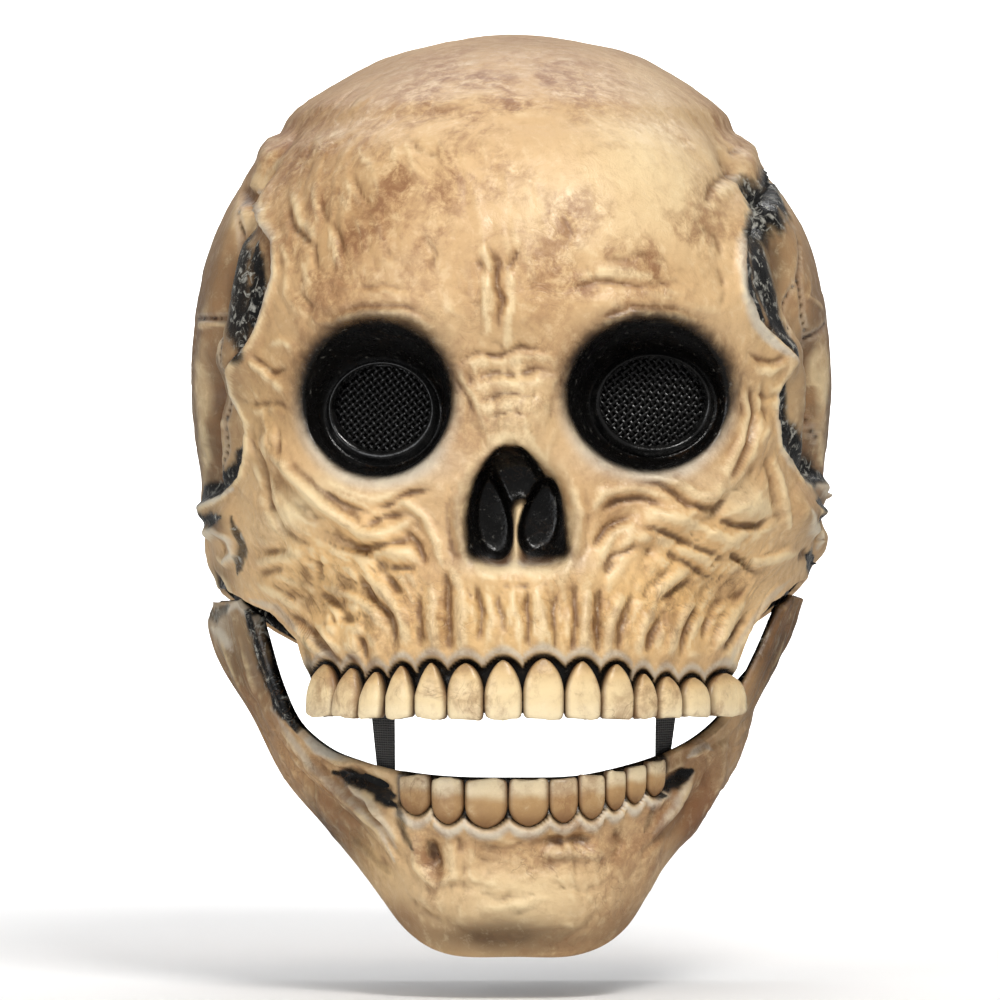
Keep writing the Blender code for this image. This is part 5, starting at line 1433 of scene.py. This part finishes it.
def paint_jaw(outer, facts):
    """Colour and masks of the jaw's outer face."""
    u, v = to_pixels(outer)
    seen, toothed, from_gum = facts["seen"], facts["toothed"], facts["from_gum"]
    paint = mix(coat(BONE, outer.shape), TAN, .65 * ramp(.4, .75, cloudy(outer, 40, 8)))
    paint = mix(paint, GREY_BROWN, .7 * facts["branch"])
    paint = lay_fields(paint, outer, JAW_FIELDS, seen, 16, 2)
    stain = np.clip(blobs(u, v, JAW_STAINS) * seen + .3, 0, 1)
    # darker in the creases and hollows: partly brown wash, partly painted shade
    deep = cavity((facts["detail"] + .4 * facts["relief"]).T, 3).T
    wash_and_shade = .9 * ramp(.12, 1.2, deep) + .4 * ramp(.5, 1.4, cavity(facts["relief"].T, 7).T)
    # paler on the ridges: partly dry-brushed paint, partly painted highlight
    raised = ramp(.12, .6, -deep)
    paint = mix(paint, PALE, .5 * raised)
    uneven = 1.7 * (cloudy(outer, 5, 2) - .5)
    # black strokes: black paint, and painted shade in the hollows and creases
    black = line_mask(u, v, JAW_BLACKS, uneven) * seen
    # pale ridges and edges: partly dry-brushed paint, partly painted highlights
    paint = mix(paint, ASH, line_mask(u, v, JAW_PALES, uneven) * seen)
    gum = toothed * ramp(-1.9, .5, from_gum)
    black = np.maximum(black, .8 * gum)
    ledge = toothed * ramp(-5, -3, from_gum) * ramp(-.3, -2, from_gum)
    paint = mix(paint, ASH, .8 * ledge)
    amount = np.clip(facts["height"], .1, 1) * seen + .2
    return paint, np.stack((stain, np.clip(wash_and_shade, 0, 1), np.clip(black, 0, 1), amount), axis=-1)


def build_jaw(material):
    """The jaw's whole skin with its worked relief."""
    sections, facts = jaw_skin()
    paint, masks = paint_jaw(sections[:, :JAW_OUTER_ROWS], facts)
    count = sections.shape[1]
    rest = count - JAW_OUTER_ROWS
    # near-black inner face: painted shade for the inside of the mask, on a guessed lining colour
    inside = coat(LINING, (JAW_COLUMNS, rest, 3))
    inside[:, :2] = paint[:, -1:]
    inside[:, -1] = paint[:, 0]
    inside_masks = np.zeros((JAW_COLUMNS, rest, 4))
    inside_masks[:, 2:, 2] = 1
    inside_masks[:, -1] = masks[:, 0]
    paint = np.concatenate((paint, inside), axis=1).reshape(-1, 3)
    masks = np.concatenate((masks, inside_masks), axis=1).reshape(-1, 4)
    faces = tube_faces(JAW_COLUMNS, count)
    jaw = make_piece("jaw_skin", sections.reshape(-1, 3), faces, material, paint, masks)
    settle(jaw, "jaw_latex", "jaw")


# Small pieces

def socket_axes(socket):
    """Middle of a socket's hole, and its across, up and outward directions."""
    hole = socket[4]
    out = np.array((SOCKET_FLOOR_SLOPE * socket[1], -1, 0))
    out /= np.linalg.norm(out)
    across = np.array((-out[1], out[0], 0))
    return np.array((hole[0], SOCKET_FLOOR_Y, hole[1])), across, np.array((0, 0, 1)), out


RING_AROUND = 120
RING_PROFILE = (
    # place from hole to floor, height over the floor
    (-.1, -2.4), (-.12, -.6), (-.06, .7), (.08, 1.5), (.3, 1.9), (.55, 1.7), (.8, 1), (1.05, .2), (1.25, -.6),
)


def build_rings(material):
    """Glossy oval lips round the holes in the socket floors."""
    for socket in SOCKETS:
        middle, across, up, out = socket_axes(socket)
        floor, hole = socket[3], socket[4]
        profile = catmull_rom(RING_PROFILE, 3)
        rows = []
        for turn in np.linspace(0, 2 * math.pi, RING_AROUND, endpoint=False):
            inner = np.array((hole[2] * math.cos(turn), hole[3] * math.sin(turn)))
            outer = np.array((floor[0] - hole[0] + .97 * floor[2] * math.cos(turn),
                              floor[1] - hole[1] + .97 * floor[3] * math.sin(turn)))
            wave = .16 * math.sin(3 * turn + socket[1]) + .1 * math.sin(7 * turn)
            row = []
            for place, rise in profile:
                flat = inner * (1 - place) + outer * place
                lift = rise + (wave if rise > .3 else 0)
                row.append(middle + across * flat[0] + up * flat[1] + out * lift)
            rows.append(row)
        points = np.array(rows)
        index = np.arange(points.shape[0] * points.shape[1]).reshape(points.shape[:2])
        following = np.roll(index, -1, axis=0)
        faces = np.stack((index[:, :-1], index[:, 1:], following[:, 1:], following[:, :-1]), axis=-1)
        piece = make_piece("eye_ring_" + socket[0], points.reshape(-1, 3), faces.reshape(-1, 4), material)
        settle(piece, "skull_latex")


EYE_MESH_LIP = 1.8
EYE_MESH_CROWN = 1.6
THREAD_PITCH = 1.75
THREAD_HALF_WIDTH = .5
THREAD_HALF_THICK = .24
THREAD_WAVE = .26
THREAD_STEP = .45
THREAD_SIDES = 6
THREAD_TURN = 38


def build_eye_meshes(material):
    """Woven mesh behind each eye hole."""
    for socket in SOCKETS:
        middle, across, up, out = socket_axes(socket)
        half_width = socket[4][2] + EYE_MESH_LIP
        half_height = socket[4][3] + EYE_MESH_LIP
        vertices = []
        faces = []
        reach = max(half_width, half_height)
        turn = math.radians(THREAD_TURN)
        ways = (np.array((math.cos(turn), math.sin(turn))), np.array((-math.sin(turn), math.cos(turn))))
        count = int(reach / THREAD_PITCH) + 1
        for family, (run, over) in enumerate((ways, (ways[1], -ways[0]))):
            for k in range(-count, count + 1):
                steps = np.arange(-reach, reach + THREAD_STEP, THREAD_STEP)
                flat = run[None, :] * steps[:, None] + over[None, :] * (k * THREAD_PITCH)
                inside = (flat[:, 0] / half_width) ** 2 + (flat[:, 1] / half_height) ** 2
                flat, steps, inside = flat[inside < 1], steps[inside < 1], inside[inside < 1]
                if len(flat) < 3:
                    continue
                sign = 1 if (k + family) % 2 else -1
                wave = THREAD_WAVE * sign * np.cos(steps / THREAD_PITCH * math.pi)
                seat = -WALL - FIT_GAP - .5 + EYE_MESH_CROWN * np.clip(1 - inside, 0, 1) + wave
                line = (middle[None, :] + across[None, :] * flat[:, :1] + up[None, :] * flat[:, 1:]
                        + out[None, :] * seat[:, None])
                sideways = across * over[0] + up * over[1]
                faces += tube_faces(len(line), THREAD_SIDES, len(vertices))
                for point in line:
                    for phase in np.arange(THREAD_SIDES) * 2 * math.pi / THREAD_SIDES:
                        vertices.append(point + sideways * THREAD_HALF_WIDTH * math.cos(phase)
                                        + out * THREAD_HALF_THICK * math.sin(phase))
        piece = make_piece("eye_weave_" + socket[0], vertices, faces, material)
        rework(piece, right_way_out)
        settle(piece, "black_mesh", "eye_mesh_" + socket[0])


def ribbon(points, across, width, thickness, profile):
    """Strip along points whose two faces follow a profile: place across and share of thickness."""
    points = np.array(points)
    across = np.broadcast_to(np.array(across, dtype=float), points.shape)
    run = np.gradient(points, axis=0)
    face = np.cross(run, across)
    face /= np.linalg.norm(face, axis=1)[:, None]
    thick = np.broadcast_to(np.array(thickness, dtype=float), (len(points),))
    section = [(s, t) for s, t in profile] + [(s, -t) for s, t in profile[::-1]]
    count = len(section)
    vertices = []
    for point, sideways, normal, depth in zip(points, across, face, thick):
        for place, share in section:
            vertices.append(point + sideways * width * place + normal * depth * .5 * share)
    faces = [tuple(range(count)), tuple(range(len(vertices) - 1, len(vertices) - count - 1, -1))]
    for i in range(len(points) - 1):
        for k in range(count):
            j = (k + 1) % count
            faces.append((count * i + k, count * i + count + k, count * i + count + j, count * i + j))
    return vertices, faces


def skull_inner_point(x, height):
    """Point on the skull's inner face at the front, and the level direction out of it there."""
    places = [np.array((near, float(skull_front_y(np.array(near), np.array(height))), height))
              for near in (x - 1, x, x + 1)]
    out = level_out(places[0], places[2])
    return places[1] - out * (GUM_STEP + WALL), out


STRAP_RIBS = 9


def build_straps(material):
    """Elastic straps from behind the upper teeth to the inside of the lower jaw."""
    for name, x_skull, x_jaw in STRAPS:
        upper = []
        for height in (STRAP_TOP, STRAP_LEAVES_SKULL):
            point, skull_out = skull_inner_point(x_skull, height)
            upper.append(point - skull_out * (FIT_GAP + STRAP_CLEAR_SKULL + .5 * STRAP_THICK))
        lower = []
        for across in (STRAP_MEETS_JAW, STRAP_END):
            point, jaw_out = jaw_at_x(x_jaw, across)
            jaw_out = levelled(jaw_out)
            lower.append(point - jaw_out * (JAW_WALL + FIT_GAP + STRAP_CLEAR_JAW + .5 * STRAP_THICK))
        points = np.array(upper + lower)
        across_top = np.array((-skull_out[1], skull_out[0], 0))
        across_foot = np.array((-jaw_out[1], jaw_out[0], 0))
        way = np.concatenate(([0], np.cumsum(np.linalg.norm(np.diff(points, axis=0), axis=1))))
        steps = np.linspace(0, way[-1], 90)
        path = rows_at(steps, way, points)
        for _ in range(6):
            path[1:-1] = .25 * path[:-2] + .5 * path[1:-1] + .25 * path[2:]
        blend = np.interp(steps, way, (0, 0, 1, 1))
        lines = across_top[None, :] * (1 - blend[:, None]) + across_foot[None, :] * blend[:, None]
        lines /= np.linalg.norm(lines, axis=1)[:, None]
        places = np.linspace(-.5, .5, 4 * STRAP_RIBS + 1)
        profile = [(s, (.72 + .2 * math.cos(2 * math.pi * STRAP_RIBS * (s + .5) + math.pi))
                    * (1 if abs(s) < .49 else .4)) for s in places]
        vertices, faces = ribbon(path, lines, STRAP_WIDTH, STRAP_THICK, profile)
        piece = make_piece("elastic_strap_" + name, vertices, faces, material)
        rework(piece, right_way_out)
        settle(piece, "black_elastic", "jaw_strap_" + name)


def build_webs(material):
    """Ribbed webs in front of the ears."""
    for name, side, clear_of_jaw, clear_of_skull in WEBS:
        points = []
        for station, across in WEB_JAW_PLACES:
            place = station if side < 0 else 1 - station
            point, out, _ = jaw_base(np.array([place]), np.array([across]))
            points.append(point[0] - out[0] * (JAW_WALL + clear_of_jaw + WEB_THICK))
        outward = levelled(out[0])
        angle = math.radians(WEB_SKULL_ANGLE * side)
        radius = float(skull_radius(np.array(WEB_SKULL_TOP), np.array(angle)))
        radius -= WALL + clear_of_skull + WEB_THICK
        points.append(np.array((radius * math.sin(angle), AXIS_Y - radius * math.cos(angle), WEB_SKULL_TOP)))
        along = np.linspace(0, 1, 121)
        path = rows_at(along, (0, .5, 1), points)
        ribs = WEB_THICK + WEB_RIB * (.5 - .5 * np.cos(2 * math.pi * WEB_RIB_COUNT * along)) ** 1.5
        across_line = np.array((-outward[1], outward[0], 0))
        profile = [(s, 1 - .5 * abs(2 * s) ** 6) for s in np.linspace(-.5, .5, 17)]
        vertices, faces = ribbon(path, across_line, WEB_WIDTH, ribs, profile)
        piece = make_piece("ribbed_web_" + name, vertices, faces, material)
        rework(piece, right_way_out)
        settle(piece, "black_latex", "jaw_web_" + name)


# Materials

class Shading:
    """Short calls for a material's nodes."""

    def __init__(self, name):
        self.material = bpy.data.materials.new(name)
        self.material.use_nodes = True
        self.tree = self.material.node_tree
        self.surface = self.tree.nodes["Principled BSDF"]
        place = self.tree.nodes.new("ShaderNodeTexCoord")
        self.place = place.outputs["Object"]

    def feed(self, socket, value):
        if isinstance(value, bpy.types.NodeSocket):
            self.tree.links.new(value, socket)
        elif value is not None:
            socket.default_value = value

    def math(self, operation, first, second=None, clamp=False):
        node = self.tree.nodes.new("ShaderNodeMath")
        node.operation = operation
        node.use_clamp = clamp
        self.feed(node.inputs[0], first)
        self.feed(node.inputs[1], second)
        return node.outputs[0]

    def times(self, first, second, clamp=False):
        return self.math("MULTIPLY", first, second, clamp)

    def mix(self, amount, base, over):
        node = self.tree.nodes.new("ShaderNodeMix")
        node.data_type = "RGBA"
        for socket, entry in ((0, amount), (6, base), (7, over)):
            plain = isinstance(entry, tuple) and len(entry) == 3
            self.feed(node.inputs[socket], rgba(entry) if plain else entry)
        return node.outputs[2]

    def span(self, value, low, high, to_low=0, to_high=1):
        node = self.tree.nodes.new("ShaderNodeMapRange")
        node.interpolation_type = "SMOOTHSTEP"
        for socket, entry in zip(node.inputs, (value, low, high, to_low, to_high)):
            self.feed(socket, entry)
        return node.outputs[0]

    def noise(self, scale, detail, rough, distortion=0):
        node = self.tree.nodes.new("ShaderNodeTexNoise")
        for label, value in (("Vector", self.place), ("Scale", scale), ("Detail", detail),
                             ("Roughness", rough), ("Distortion", distortion)):
            self.feed(node.inputs[label], value)
        return node.outputs["Fac"]

    def attribute(self, name):
        node = self.tree.nodes.new("ShaderNodeAttribute")
        node.attribute_name = name
        return node.outputs

    def split(self, kind, value):
        node = self.tree.nodes.new(kind)
        self.feed(node.inputs[0], value)
        return list(node.outputs)

    def bump(self, height, strength, distance, normal=None):
        node = self.tree.nodes.new("ShaderNodeBump")
        node.inputs["Strength"].default_value = strength
        node.inputs["Distance"].default_value = distance
        self.feed(node.inputs["Height"], height)
        if normal is not None:
            self.feed(node.inputs["Normal"], normal)
        return node.outputs[0]

    def finish(self, colour, roughness, normal):
        self.feed(self.surface.inputs["Base Color"], colour)
        self.feed(self.surface.inputs["Roughness"], roughness)
        self.feed(self.surface.inputs["Normal"], normal)
        return self.material


def rgba(colour):
    """Linear colour with full cover, for a node's socket."""
    return (*linear(colour), 1)


def painted_latex(name, gloss=.37, bump=1):
    """Hand-painted bone: base paint, mottled stain, dark wash and painted shade in the creases, black
    airbrush with painted glints.
    """
    s = Shading(name)
    paint = s.attribute("paint")["Color"]
    masks = s.attribute("masks")
    stain, wash_and_shade, black = s.split("ShaderNodeSeparateColor", masks["Color"])
    amount = masks["Alpha"]
    blotch = s.noise(42, 6, .62, .6)
    speck = s.noise(210, 5, .7, .3)
    grain = s.noise(900, 3, .6)
    # broad warm and dark shifts of the paint
    colour = s.mix(s.times(s.span(blotch, .48, .68), .28), paint, (186, 144, 98))
    colour = s.mix(s.times(s.span(speck, .5, .72), .22), colour, (160, 120, 80))
    colour = s.mix(s.times(s.span(speck, .48, .28), .22), colour, (244, 226, 188))
    # mottled stain
    patch = s.times(s.span(blotch, .4, .6), s.span(speck, .34, .62))
    colour = s.mix(s.times(s.times(stain, patch), .85), colour, (136, 92, 60))
    # brown wash that settles in the creases, together with painted shade that darkens the creases and hollows
    settled_wash_and_shade = s.times(wash_and_shade, s.span(speck, .2, .6, .55, 1))
    colour = s.mix(s.times(settled_wash_and_shade, .84, True), colour, (104, 68, 38))
    # black airbrush with a slightly grainy edge
    edge = s.math("ADD", black, s.times(s.math("SUBTRACT", speck, .5), .35))
    dark = s.span(edge, .12, .88)
    colour = s.mix(dark, colour, (10, 9, 8))
    # painted highlights: pale glints on the black
    glints = s.times(dark, s.span(s.noise(520, 2, .5), .64, .76))
    colour = s.mix(s.times(glints, .3), colour, (130, 128, 120))
    # painted highlights: pale glint streaks on the black of the temples and ears
    across = s.split("ShaderNodeSeparateXYZ", s.place)[0]
    aside = s.span(s.math("ABSOLUTE", across), .066, .073)
    glint_streaks = s.times(s.span(s.noise(300, 4, .65, .8), .52, .66), .8)
    colour = s.mix(s.times(s.times(dark, aside), glint_streaks), colour, (176, 174, 164))
    roughness = s.span(speck, .3, .7, gloss - .06, gloss + .12)
    roughness = s.math("SUBTRACT", roughness, s.times(dark, .16))
    wander = s.math("ABSOLUTE", s.math("SUBTRACT", s.noise(75, 3, .55, 1.4), .5))
    cracks = s.span(wander, 0, .018, 1, 0)
    open_cracks = s.times(s.times(cracks, amount), s.span(blotch, .42, .6))
    colour = s.mix(s.times(open_cracks, .32, True), colour, (120, 84, 52))
    wrinkle = s.math("SUBTRACT", s.noise(150, 5, .66, 1.2), s.times(open_cracks, .5))
    normal = s.bump(grain, .25 * bump, .0002)
    normal = s.bump(speck, .35 * bump, .0006, normal)
    normal = s.bump(wrinkle, .35 * bump, .0012, normal)
    s.surface.inputs["Specular IOR Level"].default_value = .42
    return s.finish(colour, roughness, normal)


def black_coat(name, scale, fine, mix_start, colours, bump, roughness):
    """Slightly uneven black coat: its noise, where the second colour starts, bump and roughness."""
    s = Shading(name)
    uneven = s.noise(scale, fine, .6)
    colour = s.mix(s.span(uneven, mix_start, .7), *colours)
    return s.finish(colour, s.span(uneven, .3, .7, *roughness), s.bump(uneven, *bump))


def woven_elastic():
    """Matt black elastic with its cross threads."""
    s = Shading("woven_black_elastic")
    wave = s.tree.nodes.new("ShaderNodeTexWave")
    wave.bands_direction = "Z"
    wave.inputs["Scale"].default_value = 420
    wave.inputs["Distortion"].default_value = 1.5
    s.feed(wave.inputs["Vector"], s.place)
    fibre = s.noise(2200, 3, .7)
    colour = s.mix(fibre, (8, 8, 7), (36, 34, 31))
    height = s.math("ADD", wave.outputs["Fac"], s.times(fibre, .5))
    normal = s.bump(height, .7, .0003)
    s.surface.inputs["Sheen Weight"].default_value = .2
    return s.finish(colour, s.span(fibre, .3, .7, .7, .88), normal)


def web_latex():
    """Glossy black latex of the webs, dry-brushed pale on the ribs."""
    s = Shading("web_black_latex")
    uneven = s.noise(240, 5, .65)
    dry = s.noise(700, 3, .7)
    colour = s.mix(s.times(s.span(uneven, .52, .7), s.span(dry, .45, .65)),
                   (12, 11, 10), (120, 112, 98))
    normal = s.bump(uneven, .6, .0008)
    return s.finish(colour, s.span(uneven, .3, .7, .24, .4), normal)


# Studio

FLOOR_HEIGHT = -.3
WALL_START = 2.9
WALL_STEPS = 16


def build_floor():
    """Pale floor that runs up into a pale wall."""
    profile = [(-5, 0), (WALL_START, 0)]
    for step in range(1, WALL_STEPS + 1):
        turn = .5 * math.pi * step / WALL_STEPS
        profile.append((WALL_START + math.sin(turn), 1 - math.cos(turn)))
    profile.append((WALL_START + 1, 5))
    vertices = [(x, y, FLOOR_HEIGHT + z) for y, z in profile for x in (-6, 6)]
    faces = [(2 * i, 2 * i + 1, 2 * i + 3, 2 * i + 2) for i in range(len(profile) - 1)]
    mesh = bpy.data.meshes.new("studio_floor")
    mesh.from_pydata(vertices, [], faces)
    mesh.polygons.foreach_set("use_smooth", [True] * len(mesh.polygons))
    s = Shading("studio_floor")
    grain = s.noise(6, 3, .5)
    colour = s.mix(grain, (.86, .86, .86, 1), (.9, .9, .9, 1))
    mesh.materials.append(s.finish(colour, .9, s.bump(grain, .05, .001)))
    floor = bpy.data.objects.new("studio_floor", mesh)
    bpy.context.scene.collection.objects.link(floor)
    floor.visible_glossy = False


def area_light(name, place, target, size, power, colour=(1, 1, 1)):
    """Soft square light aimed at a point."""
    light = bpy.data.lights.new(name, "AREA")
    light.shape = "RECTANGLE"
    light.size, light.size_y = size
    light.energy = power
    light.color = colour
    lamp = bpy.data.objects.new(name, light)
    bpy.context.scene.collection.objects.link(lamp)
    lamp.location = place
    aim = Vector(target) - Vector(place)
    lamp.rotation_euler = aim.to_track_quat("-Z", "Y").to_euler()


def build_studio():
    """Camera, world and lights."""
    scene = bpy.context.scene
    camera_data = bpy.data.cameras.new("camera")
    camera_data.sensor_width = SENSOR_WIDTH
    camera_data.lens = SENSOR_WIDTH * FOCAL_PIXELS / FRAME_PIXELS
    camera_data.clip_start = .1
    camera_data.clip_end = 20
    camera = bpy.data.objects.new("camera", camera_data)
    scene.collection.objects.link(camera)
    camera.location = (VIEW_X * MM, -VIEW_DISTANCE * MM, VIEW_Z * MM)
    camera.rotation_euler = (math.radians(90), 0, 0)
    scene.camera = camera
    world = bpy.data.worlds.new("studio")
    world.use_nodes = True
    background = world.node_tree.nodes["Background"]
    background.inputs["Color"].default_value = (1, 1, 1, 1)
    background.inputs["Strength"].default_value = .22
    scene.world = world
    middle = (0, -.05, -.14)
    area_light("key", (.3, -1, .75), middle, (.35, .35), 12.5, (1, .98, .95))
    area_light("fill", (-.9, -1.2, .15), middle, (.7, .9), 6.5, (.97, .98, 1))
    area_light("top", (0, -.1, 1.1), middle, (.8, .6), 2.5)
    area_light("backdrop", (0, 2.2, 2.2), (0, 3.6, .1), (4, .8), 190)
    scene.view_settings.view_transform = "Standard"


def main():
    build_studio()
    build_floor()
    bone = painted_latex("painted_bone_latex")
    build_skull(bone)
    build_jaw(bone)
    build_teeth(painted_latex("painted_tooth_latex", .3, .5))
    build_rings(black_coat("glossy_black_latex", 260, 4, .4, ((9, 9, 9), (26, 25, 24)),
                           (.5, .0006), (.16, .3)))
    build_eye_meshes(black_coat("black_mesh_thread", 1400, 3, .35, ((8, 8, 8), (24, 23, 22)),
                                (.4, .0001), (.2, .36)))
    build_straps(woven_elastic())
    build_webs(web_latex())


main()

bpy.context.view_layer.update()
